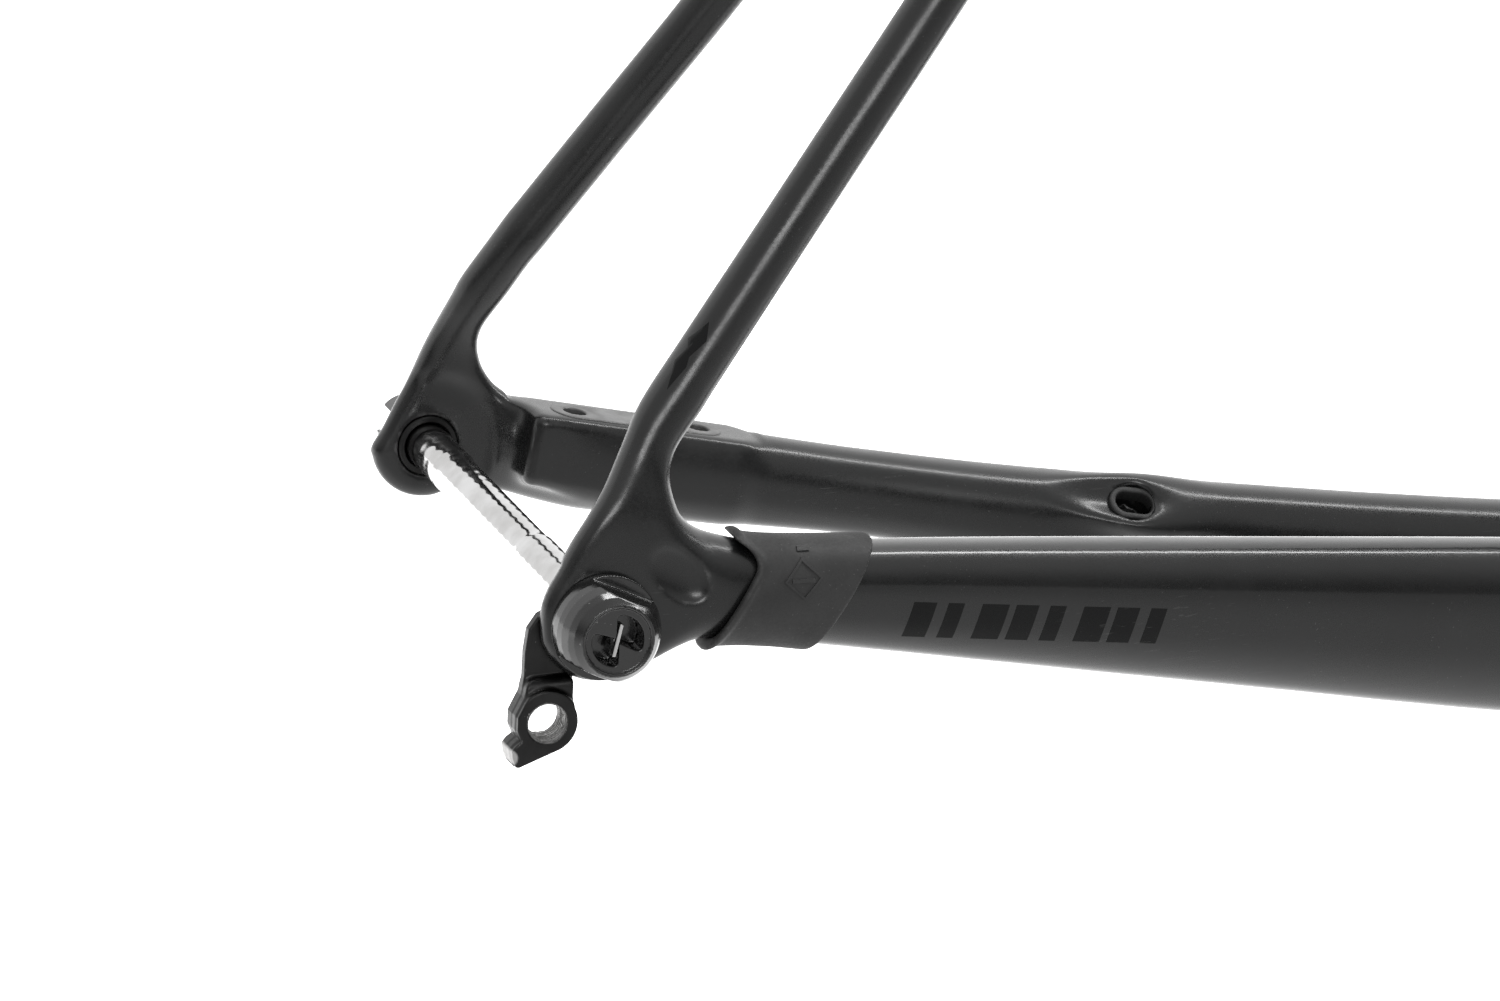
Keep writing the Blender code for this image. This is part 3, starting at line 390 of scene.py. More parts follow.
class Run:
    """A tube or stay as smooth curves of its centre and half sizes, read off its CAD node by slicing it."""

    def __init__(self, name, power, slices=25, trim=0.02):
        points = node_points(name)
        self.start = points.mean(axis=0)
        direction = np.linalg.svd(points - self.start, full_matrices=False)[2][0]
        direction[1] = direction[1] if abs(direction[1]) > 0.01 else 0.0
        self.direction = unit(direction * (1.0 if direction[0] + direction[2] > 0.0 else -1.0))
        self.side = unit(LATERAL - self.direction * self.direction[1])
        self.up = np.cross(self.direction, self.side)
        self.up *= 1.0 if self.up[2] > 0.0 else -1.0
        self.power = power
        rows = self.slice(points - self.start, mesh_pairs(nodes[name].data), slices, trim)
        self.low, self.high = rows[0, 0], rows[-1, 0]
        self.step = rows[1, 0] - rows[0, 0]
        self.rows = np.vstack((2 * rows[0] - rows[1], rows, 2 * rows[-1] - rows[-2]))[:, 1:]

    def slice(self, points, pairs, slices, trim):
        along = points @ self.direction
        low, high = along.min(), along.max()
        rows = []
        for s in np.linspace(low + (high - low) * trim, high - (high - low) * trim, slices):
            first, second = along[pairs[:, 0]], along[pairs[:, 1]]
            crossing = (first - s) * (second - s) < 0.0
            a, b = pairs[crossing, 0], pairs[crossing, 1]
            share = ((s - along[a]) / (along[b] - along[a]))[:, None]
            cut = points[a] * (1.0 - share) + points[b] * share
            u, v = cut @ self.side, cut @ self.up
            rows.append((s, (u.max() + u.min()) / 2, (v.max() + v.min()) / 2,
                         (u.max() - u.min()) / 2, (v.max() - v.min()) / 2))
        return np.array(rows)

    def section(self, s):
        """Centre across, centre up, half width and half height at a distance along the run."""
        place = (np.asarray(s, dtype=float) - self.low) / self.step
        held = np.clip(place, 0.0, len(self.rows) - 3.0)
        first = np.minimum(held.astype(int), len(self.rows) - 4)
        t = held - first
        shares = ((1 - t) ** 3, 3 * t ** 3 - 6 * t * t + 4, -3 * t ** 3 + 3 * t * t + 3 * t + 1, t ** 3)
        slopes_at = (-(1 - t) ** 2, 3 * t * t - 4 * t, -3 * t * t + 2 * t + 1, t * t)
        values = []
        for column in range(4):
            controls = [self.rows[first + k, column] for k in range(4)]
            value = sum(share * control for share, control in zip(shares, controls)) / 6.0
            if column < 2:
                value = value + sum(a * b for a, b in zip(slopes_at, controls)) / 2.0 * (place - held)
            values.append(value)
        return values

    def centre(self, s):
        across, rise, width, height = self.section(s)
        return self.start + self.direction * s + self.side * across + self.up * rise

    def at_x(self, x):
        """Distance along the run where it reaches an x."""
        return rising_zero(lambda s: self.centre(s)[0] - x, self.low - 0.06, self.high + 0.06)

    def distance(self, points, before=0.0, after=0.0):
        """Distance to the run, lengthened straight on by so much before its start and after its end."""
        local = points - self.start
        s = local @ self.direction
        across, rise, width, height = self.section(s)
        side = oval_distance(local @ self.side - across, local @ self.up - rise, width, height, self.power)
        return np.maximum(side, np.maximum(self.low - before - s, s - self.high - after))


def rising_zero(function, low, high):
    """The place where a rising function passes zero."""
    for _ in range(40):
        middle = (low + high) / 2.0
        if function(middle) < 0.0:
            low = middle
        else:
            high = middle
    return low


chainstays = {side: Run("chainstay_" + side, CHAINSTAY_POWER) for side in ("right", "left")}
seatstays = {side: Run("seatstay_" + side, SEATSTAY_POWER) for side in ("right", "left")}
seat_tube = Run("seat_tube", 2.0, slices=7, trim=0.08)
top_tube = Run("top_tube", 2.4, slices=5, trim=0.08)
down_tube = Run("down_tube", 2.5, slices=5, trim=0.1)
head_tube = Run("head_tube", 2.0, slices=9, trim=0.04)


# ---------------------------------------------------------------- dropouts

def stay_edge(run, s, sense):
    """(forward, up) of the axle, in metres, on the top or bottom edge of a stay."""
    place = run.centre(s) + run.up * run.section(s)[3] * sense
    return place[0] - AXLE[0], place[2] - AXLE[2]


def dropout_outline(label):
    """Closed outline of a dropout, carried on along the edges of both stays."""
    shape = DROPOUTS[label]
    radius, start, end = shape["boss"]
    angles = np.radians(np.linspace(start, end, 12))
    boss = [(radius * MM * math.cos(a), radius * MM * math.sin(a)) for a in angles]
    chain, seat = chainstays[label], seatstays[label]
    chain_steps = np.array([0.0, 8.0, 18.0, 30.0, 44.0]) * MM
    seat_steps = np.array([-9.0, -2.0, 6.0, 15.0, 25.0, 36.0]) * MM
    lower = [(x * MM, z * MM) for x, z in shape["lower"]]
    lower += [stay_edge(chain, chain.low + step, -1.0) for step in chain_steps]
    crotch = [stay_edge(chain, chain.low + step, 1.0) for step in chain_steps[::-1]]
    crotch += [(x * MM, z * MM) for x, z in shape["crotch"]]
    crotch += [stay_edge(seat, seat.low + step, -1.0) for step in seat_steps]
    rear = [stay_edge(seat, seat.low + step, 1.0) for step in seat_steps[:0:-1]]
    rear += [(x * MM, z * MM) for x, z in shape["rear"]]
    return closed_curve(boss + lower + crotch + rear, 8)


outlines = {label: dropout_outline(label) for label in SIGN}
SEAT_WAY = unit(seatstays["right"].direction * np.array([1.0, 0.0, 1.0]))


def dropout_distance(points, label):
    """The plate round the axle, which swells and turns into the sections of both stays."""
    low, high = (np.array(corner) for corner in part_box("dropout_" + label))
    outer = max(abs(low[1]), abs(high[1]))
    inner = abs(mounts["hub_face_" + label]["pos_m"][1])
    chain, seat = chainstays[label], seatstays[label]
    local = points - AXLE
    along = local @ SEAT_WAY
    seat_end = (seat.centre(seat.low) - AXLE) @ SEAT_WAY
    chain_end = chain.centre(chain.low)[0] - AXLE[0]
    raised = smoothstep(local[:, 2], 22.0 * MM, 42.0 * MM)
    seat_share = smoothstep(along, 13.0 * MM, seat_end) * smoothstep(local[:, 2], -4.0 * MM, 22.0 * MM)
    chain_share = smoothstep(local[:, 0], 9.0 * MM, chain_end + 1.0 * MM) * (1.0 - raised)
    total = np.maximum(seat_share + chain_share, 1.0)
    seat_share, chain_share = seat_share / total, chain_share / total
    plate_share = 1.0 - seat_share - chain_share
    seat_s = (points - seat.start) @ seat.direction
    chain_s = (points - chain.start) @ chain.direction
    seat_across, _, seat_width, seat_height = seat.section(np.maximum(seat_s, seat.low - 30.0 * MM))
    held = np.maximum(chain_s, chain.low - 20.0 * MM)
    chain_across, _, chain_width, chain_height = chain.section(held)
    seat_y = seat.start[1] + seat.direction[1] * seat_s + seat.side[1] * seat_across
    chain_y = chain.start[1] + chain.direction[1] * chain_s + chain.side[1] * chain_across
    plate_y = SIGN[label] * (inner + outer) / 2.0
    lean = np.clip((along - LEAN_START) / (seat_end - LEAN_START), 0.0, 1.0)
    lean = seat_share * (1.0 - raised) + raised * (1.0 - (1.0 - lean) ** 2)
    middle = plate_y * (1.0 - lean - chain_share) + seat_y * lean + chain_y * chain_share
    thick = (outer - inner) / 2.0 * plate_share + seat_width * seat_share + chain_width * chain_share
    round_off = PLATE_ROUND * plate_share + (seat_height * seat_share + chain_height * chain_share) * 0.98
    power = 2.6 * plate_share + SEATSTAY_POWER * seat_share + CHAINSTAY_POWER * chain_share
    depth = -outline_distance(local[:, (0, 2)], outlines[label])
    edge = np.maximum(1.0 - depth / round_off, 0.0)
    share = (edge ** power + np.abs((points[:, 1] - middle) / thick) ** power) ** (1.0 / power)
    body = (share - 1.0) * thick
    to_seat = smoothstep(along, seat_end - 8.0 * MM, seat_end + 8.0 * MM)
    body = body * (1.0 - to_seat) + seat.distance(points, before=50.0 * MM, after=50.0 * MM) * to_seat
    to_chain = smoothstep(local[:, 0], chain_end - 4.0 * MM, chain_end + 10.0 * MM) * (1.0 - raised)
    return body * (1.0 - to_chain) + chain.distance(points, before=50.0 * MM, after=50.0 * MM) * to_chain


def rear_distance(points, label):
    """One rear corner of the frame: dropout and stays, with its holes and recesses."""
    body = dropout_distance(points, label)
    axis = LATERAL * SIGN[label]
    inner = abs(mounts["hub_face_" + label]["pos_m"][1])
    if label == "right":
        body = bored(body, points, AXLE, axis, HUB_CLEARANCE, 30.0 * MM, inner + 3.3 * MM, 1.4 * MM, 0.5 * MM)
        along = FORWARD * math.cos(SCOOP_TILT) + UPRIGHT * math.sin(SCOOP_TILT)
        axes = (along, np.cross(along, LATERAL), LATERAL)
        scoop = ellipsoid_distance(points, AXLE + SCOOP_CENTRE, axes, SCOOP_SIZE)
        body = smooth_max(body, -scoop, 0.3 * MM)
        return bored(body, points, AXLE, axis, NUT_HOLE, 50.0 * MM, 100.0 * MM, 0.8 * MM)
    body = bored(body, points, AXLE, axis, HUB_CLEARANCE, 30.0 * MM, inner, 5.0 * MM, 3.0 * MM)
    body = bored(body, points, AXLE, axis, END_CAP_SEAT, 50.0 * MM, inner + 1.1 * MM, 0.9 * MM, 0.3 * MM)
    body = bored(body, points, AXLE, axis, BUSHING_HOLE, 50.0 * MM, 100.0 * MM, 0.9 * MM)
    return brake_block(body, points)


BRAKE_UP = unit(mounts["brake_pad_face"]["axis"])
BRAKE_CENTRE = np.array(mounts["brake_pad_face"]["pos_m"])
BRAKE_ALONG = unit(np.cross(LATERAL, BRAKE_UP))


def brake_block(body, points):
    """Flat land on the left chainstay for the brake, with the two bolt holes through it."""
    local = points - BRAKE_CENTRE
    place = np.column_stack((local @ BRAKE_ALONG, local @ LATERAL, local @ BRAKE_UP))
    block = box_distance(place + np.array([0.0, 0.0, 10.0 * MM]), (30.0 * MM, 8.2 * MM, 10.0 * MM), 3.0 * MM)
    body = smooth_min(body, block, 8.0 * MM)
    above = box_distance(place - np.array([0.0, 0.0, 9.75 * MM]), (34.0 * MM, 14.0 * MM, 10.0 * MM), 0.5 * MM)
    body = smooth_max(body, -above, 1.4 * MM)
    for sense in (-1.0, 1.0):
        centre = BRAKE_CENTRE + BRAKE_ALONG * BRAKE_SPAN / 2 * sense
        body = bored(body, points, centre, BRAKE_UP, BRAKE_STAY_HOLE, -14.0 * MM, 20.0 * MM, 0.9 * MM)
    return body


# ---------------------------------------------------------------- main frame and stays

PORT_CENTRE = np.array(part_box("hose_port_grommet")).mean(axis=0)
port_run = chainstays["left"]
port_s = port_run.at_x(PORT_CENTRE[0])
PORT_ALONG = unit(port_run.centre(port_s + 10.0 * MM) - port_run.centre(port_s - 10.0 * MM))
PORT_OUT = unit(PORT_CENTRE - port_run.centre(port_s))
PORT_OUT = unit(PORT_OUT - PORT_ALONG * (PORT_OUT @ PORT_ALONG))


def chainstay_distance(points, label):
    body = chainstays[label].distance(points, before=20.0 * MM, after=30.0 * MM)
    return hose_port(body, points) if label == "left" else body


def hose_port(body, points):
    """The swelling round the brake hose's exit, its hollow towards the rear, and the hole."""
    axes = (PORT_ALONG, np.cross(PORT_OUT, PORT_ALONG), PORT_OUT)
    hump = ellipsoid_distance(points, PORT_CENTRE + PORT_ALONG * 5.0 * MM - PORT_OUT * 1.0 * MM, axes,
                              (15.0 * MM, 8.5 * MM, 3.6 * MM))
    body = smooth_min(body, hump, 4.0 * MM)
    hollow = ellipsoid_distance(points, PORT_CENTRE - PORT_ALONG * 8.0 * MM + PORT_OUT * 3.6 * MM, axes,
                                (16.0 * MM, 6.2 * MM, 4.4 * MM))
    body = smooth_max(body, -hollow, 2.0 * MM)
    return bored(body, points, PORT_CENTRE, PORT_OUT, 5.2 * MM, -9.0 * MM, 9.0 * MM, 1.2 * MM)


def reach(run, s, place, axis):
    """Distance along a run, from s, to where it meets an axis drawn in the middle plane."""
    gap = np.asarray(place) - run.centre(s)
    way = run.direction
    return abs((gap[0] * axis[2] - gap[2] * axis[0]) / (way[0] * axis[2] - way[2] * axis[0]))


def main_distance(points):
    """Shell, main tubes and the ends of the stays, with their bores."""
    low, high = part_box("bottom_bracket_shell")
    body = cylinder_distance(points, np.zeros(3), LATERAL, high[0], low[1], high[1], 1.2 * MM)
    head_place = head_tube.centre(head_tube.low)
    to_shell = [float(np.linalg.norm(run.centre(run.low))) - JOINT_MARGIN for run in (seat_tube, down_tube)]
    down_to_head = reach(down_tube, down_tube.high, head_place, SEAT_UP) - JOINT_MARGIN
    top_to_seat = reach(top_tube, top_tube.low, (0.0, 0.0, 0.0), SEAT_UP)
    top_to_head = reach(top_tube, top_tube.high, head_place, SEAT_UP)
    seat = seat_tube.distance(points, before=to_shell[0], after=40.0 * MM)
    top_face = (points - np.array(mounts["seat_tube_top"]["pos_m"])) @ SEAT_UP
    seat = smooth_max(seat, top_face, 1.2 * MM)
    head = head_tube.distance(points, before=20.0 * MM, after=20.0 * MM)
    for name in ("head_tube_upper_face", "head_tube_lower_face"):
        face = (points - np.array(mounts[name]["pos_m"])) @ np.array(mounts[name]["axis"])
        head = smooth_max(head, face, 1.5 * MM)
    body = smooth_min(body, seat, 14.0 * MM)
    body = smooth_min(body, down_tube.distance(points, to_shell[1], down_to_head), 16.0 * MM)
    body = smooth_min(body, top_tube.distance(points, top_to_seat, top_to_head), 11.0 * MM)
    body = smooth_min(body, head, 13.0 * MM)
    for label in SIGN:
        body = smooth_min(body, chainstays[label].distance(points, after=10.0 * MM), 9.0 * MM)
        body = smooth_min(body, seatstays[label].distance(points, after=6.0 * MM), 6.0 * MM)
    side_faces = np.abs(points[:, 1]) - high[1]
    near_shell = np.hypot(points[:, 0], points[:, 2]) < 45.0 * MM
    body = np.where(near_shell, smooth_max(body, side_faces, 1.2 * MM), body)
    lower_face = np.array(mounts["head_tube_lower_face"]["pos_m"])
    bores = (
        (np.zeros(3), LATERAL, SHELL_BORE, -80.0, 80.0),
        (np.zeros(3), SEAT_UP, POST_BORE, 200.0, 600.0),
        (head_place, SEAT_UP, STEERER_BORE, -50.0, 200.0),
        (lower_face, SEAT_UP, HEADSET_SEAT, -50.0, 7.6),
    )
    for centre, axis, radius, low, high in bores:
        body = bored(body, points, centre, axis, radius * MM, low * MM, high * MM, 1.2 * MM)
    return body


# ---------------------------------------------------------------- meshes from distances

def surface_mesh(name, distance, low, high, voxel, cuts=(), soften=1):
    """The zero surface of a distance as a smooth mesh, cut clean where cuts say."""
    voxel = voxel * 1.0
    counts = [int(math.ceil((b - a) / voxel)) + 1 for a, b in zip(low, high)]
    axes = [a + voxel * np.arange(n) for a, n in zip(low, counts)]
    y, z = np.meshgrid(axes[1], axes[2], indexing="ij")
    values = np.empty(counts, dtype=np.float32)
    for i, x in enumerate(axes[0]):
        values[i] = distance(np.column_stack((np.full(y.size, x), y.ravel(), z.ravel()))).reshape(y.shape)
    grid = openvdb.FloatGrid(10.0 * voxel)
    grid.copyFromArray(values)
    points, quads = grid.convertToQuads(0.0)
    points = settle(np.array(low) + points.astype(float) * voxel, distance, voxel)
    top = np.array([a[-1] for a in axes])
    inside = np.all((points > np.array(low) + voxel) & (points < top - voxel), axis=1)
    quads = quads[inside[quads].all(axis=1)]
    used, compact = np.unique(quads, return_inverse=True)
    mesh = bpy.data.meshes.new(name)
    mesh.from_pydata(points[used].tolist(), [], compact.reshape(quads.shape).tolist())
    for zone, place, outward in cuts:
        cut_mesh(mesh, zone, place, outward)
    finish_surface(mesh, distance, soften)
    return link_mesh(name, mesh)


def link_mesh(name, mesh):
    obj = bpy.data.objects.new(name, mesh)
    bpy.context.scene.collection.objects.link(obj)
    return obj


def cut_mesh(mesh, zone, place, outward):
    """Cut a mesh on a plane and drop what is outward of it, inside a zone only."""
    bm = bmesh.new()
    bm.from_mesh(mesh)
    centres = np.array([face.calc_center_median() for face in bm.faces])
    faces = [face for face, chosen in zip(bm.faces, zone(centres)) if chosen]
    geometry = set(faces)
    for face in faces:
        geometry.update(face.edges)
        geometry.update(face.verts)
    bmesh.ops.bisect_plane(bm, geom=list(geometry), plane_co=Vector(place), plane_no=Vector(outward),
                           clear_outer=True)
    loose = [vert for vert in bm.verts if not vert.link_faces]
    bmesh.ops.delete(bm, geom=loose, context="VERTS")
    bm.to_mesh(mesh)
    bm.free()


def keep_values(mesh, name, values):
    """Keep a number for each vertex, for the materials."""
    attribute = mesh.attributes.new(name, "FLOAT", "POINT")
    attribute.data.foreach_set("value", values.astype(np.float32))


def shaded_mesh(name, points, faces, crease, bends=None):
    """A smooth-shaded object, sharp where it turns by more than crease degrees. Where bends are given, it is
    joined where its points meet."""
    mesh = bpy.data.meshes.new(name)
    mesh.from_pydata(points, [], faces)
    if bends is not None:
        keep_values(mesh, "bend", bends)
    bm = bmesh.new()
    bm.from_mesh(mesh)
    if bends is not None:
        bmesh.ops.remove_doubles(bm, verts=bm.verts, dist=0.001 * MM)
    bmesh.ops.recalc_face_normals(bm, faces=bm.faces)
    bm.to_mesh(mesh)
    bm.free()
    mesh.shade_smooth()
    mesh.set_sharp_from_angle(angle=math.radians(crease))
    return link_mesh(name, mesh)


def finish_surface(mesh, distance, soften):
    """Smooth shading with the surface's own normals, and how sharply it bends kept as an attribute."""
    points, pairs = mesh_points(mesh), mesh_pairs(mesh)
    normals = slopes(points, distance)[1]
    step = points[pairs[:, 1]] - points[pairs[:, 0]]
    length = np.maximum((step * step).sum(axis=1), 1e-12)
    turn = ((normals[pairs[:, 1]] - normals[pairs[:, 0]]) * step).sum(axis=1) / length
    bend = np.full(len(points), -1e6)
    for column in (0, 1):
        np.maximum.at(bend, pairs[:, column], turn)
    for _ in range(soften):
        total = normals * 2.0
        np.add.at(total, pairs[:, 0], normals[pairs[:, 1]])
        np.add.at(total, pairs[:, 1], normals[pairs[:, 0]])
        normals = total / np.linalg.norm(total, axis=1)[:, None]
    mesh.shade_smooth()
    mesh.normals_split_custom_set_from_vertices(normals.tolist())
    keep_values(mesh, "bend", bend * MM)


def slopes(points, distance):
    """Values of a distance, its unit gradients and their sizes."""
    step = 0.05 * MM
    gradient = np.empty_like(points)
    for k in range(3):
        shift = np.zeros(3)
        shift[k] = step
        gradient[:, k] = (distance(points + shift) - distance(points - shift)) / (2.0 * step)
    size = np.linalg.norm(gradient, axis=1) + 1e-9
    return distance(points), gradient / size[:, None], size


def settle(points, distance, voxel):
    """Move points onto the zero surface."""
    for _ in range(3):
        value, normals, size = slopes(points, distance)
        points = points - normals * np.clip(value / size, -voxel, voxel)[:, None]
    return points


def everywhere(points):
    return np.ones(len(points), dtype=bool)


def by_chainstay(points):
    return points[:, 2] < AXLE[2] + 35.0 * MM


def by_seatstay(points):
    return points[:, 2] > AXLE[2] + 45.0 * MM


def by_shell(points):
    return (points[:, 2] < SHELL_SPLIT_TOP) & (points[:, 0] < -20.0 * MM)


def by_seat_tube(points):
    behind = -(points @ np.cross(LATERAL, SEAT_UP))
    clear = (points[:, 2] > 200.0 * MM) & (behind > 24.0 * MM)
    return clear | ((points[:, 2] > 360.0 * MM) & (behind > 16.0 * MM))


def add_skin(pieces, replaced, name, distance, low, high, voxel, cuts, soften=1):
    """One piece of the skin, in place of the CAD nodes it covers."""
    skin = surface_mesh(name, distance, low, high, voxel * MM, cuts, soften)
    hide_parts(*replaced)
    pieces.append(skin)


def make_skins():
    """The carbon skin in pieces that meet on plain stretches of the tubes."""
    pieces = []
    margin = 5.0 * MM
    seat_place = AXLE + SEAT_WAY * SEAT_SPLIT
    seat_end = AXLE + SEAT_WAY * SEAT_END_SPLIT
    shell_place = (SHELL_SPLIT_X, 0.0, 0.0)
    for label, sign in SIGN.items():
        sides = sorted((sign * 52.0 * MM, sign * 82.0 * MM))
        split_x = AXLE[0] + CHAIN_SPLIT[label]
        split_place = (split_x, 0.0, 0.0)
        low = (AXLE[0] - 19.0 * MM, sides[0], AXLE[2] - 34.0 * MM)
        high = (max(split_x + 3.0 * MM, AXLE[0] + 68.0 * MM), sides[1], AXLE[2] + 84.0 * MM)
        cuts = ((by_chainstay, split_place, FORWARD), (by_seatstay, seat_place, SEAT_WAY))
        add_skin(pieces, ["dropout_" + label], "dropout_skin_" + label, lambda p: rear_distance(p, label),
                 low, high, 0.9, cuts, 2)
        box = np.array(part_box("chainstay_" + label))
        low = (split_x - margin, box[0][1] - margin, box[0][2] - margin)
        high = (SHELL_SPLIT_X + margin, box[1][1] + margin, box[1][2] + margin)
        cuts = ((everywhere, split_place, -FORWARD), (everywhere, shell_place, FORWARD))
        add_skin(pieces, ["chainstay_" + label], "chainstay_skin_" + label,
                 lambda p: chainstay_distance(p, label), low, high, 1.3, cuts)
        box = np.array(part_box("seatstay_" + label))
        cuts = ((everywhere, seat_place, -SEAT_WAY), (everywhere, seat_end, SEAT_WAY))
        add_skin(pieces, ["seatstay_" + label], "seatstay_skin_" + label,
                 lambda p: seatstays[label].distance(p, 10.0 * MM, 20.0 * MM),
                 box[0] - 4.0 * MM, box[1] + 4.0 * MM, 1.5, cuts)
    low, high = np.array(cad_box[0]) - margin, np.array(cad_box[1]) + margin
    low[0] = MAIN_REAR
    low[1], high[1] = -MAIN_SIDE, MAIN_SIDE
    cuts = ((by_shell, shell_place, -FORWARD), (by_seat_tube, seat_end, -SEAT_WAY))
    replaced = ["bottom_bracket_shell", "seat_tube", "top_tube", "down_tube", "head_tube"]
    add_skin(pieces, replaced, "main_skin", main_distance, low, high, 2.6, cuts)
    return pieces


# ---------------------------------------------------------------- materials

class Material:
    """A Principled material with short ways to add the nodes of its detail."""

    def __init__(self, name, metallic=0.0, specular=0.5, coat=0.0, coat_roughness=0.1):
        self.material = bpy.data.materials.new(name)
        self.material.use_nodes = True
        self.tree = self.material.node_tree
        self.shader = self.tree.nodes["Principled BSDF"]
        settings = (("Metallic", metallic), ("Specular IOR Level", specular), ("Coat Weight", coat),
                    ("Coat Roughness", coat_roughness))
        for socket, value in settings:
            self.shader.inputs[socket].default_value = value
        self.place = self.tree.nodes.new("ShaderNodeTexCoord").outputs["Object"]

    def noise(self, scale, detail=3.0, stretch=(1.0, 1.0, 1.0)):
        """Noise with `scale` features to the metre, stretched along the axes whose number is small."""
        mapping = self.tree.nodes.new("ShaderNodeMapping")
        mapping.inputs["Scale"].default_value = [scale * part for part in stretch]
        noise = self.tree.nodes.new("ShaderNodeTexNoise")
        noise.inputs["Scale"].default_value = 1.0
        noise.inputs["Detail"].default_value = detail
        self.tree.links.new(self.place, mapping.inputs["Vector"])
        self.tree.links.new(mapping.outputs["Vector"], noise.inputs["Vector"])
        return noise.outputs["Fac"]

    def attribute(self, name):
        node = self.tree.nodes.new("ShaderNodeAttribute")
        node.attribute_name = name
        return node.outputs["Fac"]

    def remap(self, value, low, high, start, end):
        return map_range(self.tree, value, low, high, start, end)

    def spread(self, value, start, end):
        """Stretch noise, which keeps near its middle, over a range."""
        return self.remap(value, 0.3, 0.7, start, end)

    def math(self, operation, first, second):
        return math_node(self.tree, operation, first, second)

    def mix(self, factor, first, second):
        """A colour between two, each a link or an (r, g, b)."""
        node = self.tree.nodes.new("ShaderNodeMix")
        node.data_type = "RGBA"
        self.tree.links.new(factor, node.inputs["Factor"])
        for socket, colour in ((node.inputs[6], first), (node.inputs[7], second)):
            if isinstance(colour, tuple):
                socket.default_value = (*colour, 1.0)
            else:
                self.tree.links.new(colour, socket)
        return node.outputs[2]

    def link(self, socket, value):
        self.tree.links.new(value, self.shader.inputs[socket])

    def bump(self, *layers):
        """Relief from (height link, depth in millimetres) layers."""
        normal = None
        for height, depth in layers:
            node = self.tree.nodes.new("ShaderNodeBump")
            node.inputs["Distance"].default_value = depth * MM
            self.tree.links.new(height, node.inputs["Height"])
            if normal is not None:
                self.tree.links.new(normal, node.inputs["Normal"])
            normal = node.outputs["Normal"]
        self.link("Normal", normal)

    def edge_wear(self, low, high, patchiness):
        """Where sharp edges are rubbed bare: 0 on plain surfaces, up to 1 on worn edges."""
        patches = self.remap(self.noise(260.0, 5.0), 0.42, 0.66, 1.0 - patchiness, 1.0)
        return self.remap(self.math("MULTIPLY", self.attribute("bend"), patches), low, high, 0.0, 1.0)

    def specks(self, scale, threshold):
        return self.remap(self.noise(scale, 1.0), threshold, threshold + 0.03, 0.0, 1.0)


def grey(level, warmth=0.0):
    return (level * (1.0 + warmth), level, level * (1.0 - warmth))


def carbon_material(name, dark, light, smooth, rough, coat=0.0, specular=0.5):
    """Matte black paint over carbon: cloudy sheen, orange peel, some dust, rubbed edges, film scratches."""
    m = Material(name, specular=specular, coat=coat, coat_roughness=0.1)
    cloud = m.noise(30.0, 4.0)
    base = m.mix(m.spread(cloud, 0.0, 1.0), grey(dark, -0.03), grey(light, -0.02))
    dust = m.math("MULTIPLY", m.specks(1500.0, 0.735), m.remap(m.noise(45.0), 0.45, 0.62, 0.0, 0.8))
    base = m.mix(dust, base, grey(0.06))
    scratch = m.specks(900.0, 0.70)
    lines = m.remap(m.noise(2600.0, 1.0, (0.035, 1.0, 0.9)), 0.69, 0.72, 0.0, 1.0)
    lines = m.math("MULTIPLY", lines, m.remap(m.noise(16.0), 0.5, 0.66, 0.0, 0.55))
    base = m.mix(lines, base, grey(0.06))
    base = m.mix(m.edge_wear(0.22, 0.95, 0.7), base, grey(0.05))
    m.link("Base Color", base)
    sheen = m.spread(m.noise(55.0, 5.0), smooth, rough)
    sheen = m.math("ADD", sheen, m.spread(m.noise(1400.0), -0.03, 0.03))
    sheen = m.math("SUBTRACT", sheen, m.math("MULTIPLY", lines, 0.10))
    m.link("Roughness", m.math("ADD", sheen, m.math("MULTIPLY", scratch, 0.05)))
    m.bump((m.noise(240.0, 2.0), 0.012), (m.noise(2300.0, 2.0), 0.0012))
    return m.material


def metal_material(name, colour, roughness, wear=None, grain=(1.0, 1.0, 1.0), grain_depth=0.004, metallic=1.0,
                   dents=0.006, specular=0.5):
    """Turned or anodised metal, with fine tool lines and, where wear is given, bright rubbed edges."""
    m = Material(name, metallic=metallic, specular=specular)
    cloud = m.spread(m.noise(110.0, 4.0), 0.0, 1.0)
    base = m.mix(cloud, grey(colour * 0.85, 0.01), grey(colour * 1.1))
    fine = m.noise(2400.0, 3.0, grain)
    sheen = m.math("ADD", m.spread(m.noise(160.0, 4.0), roughness * 0.85, roughness * 1.25),
                   m.spread(fine, -0.03, 0.04))
    if wear is not None:
        rubbed = m.edge_wear(*wear)
        nicks = m.math("MULTIPLY", m.specks(1100.0, 0.78), 0.25)
        rubbed = m.math("MAXIMUM", rubbed, nicks)
        rubbed = m.math("MAXIMUM", rubbed, m.attribute("bare"))
        base = m.mix(rubbed, base, grey(0.4, 0.01))
        sheen = m.math("ADD", sheen, m.math("MULTIPLY", rubbed, 0.12))
    m.link("Base Color", base)
    m.link("Roughness", sheen)
    m.bump((fine, grain_depth), (m.noise(420.0, 3.0), dents))
    return m.material


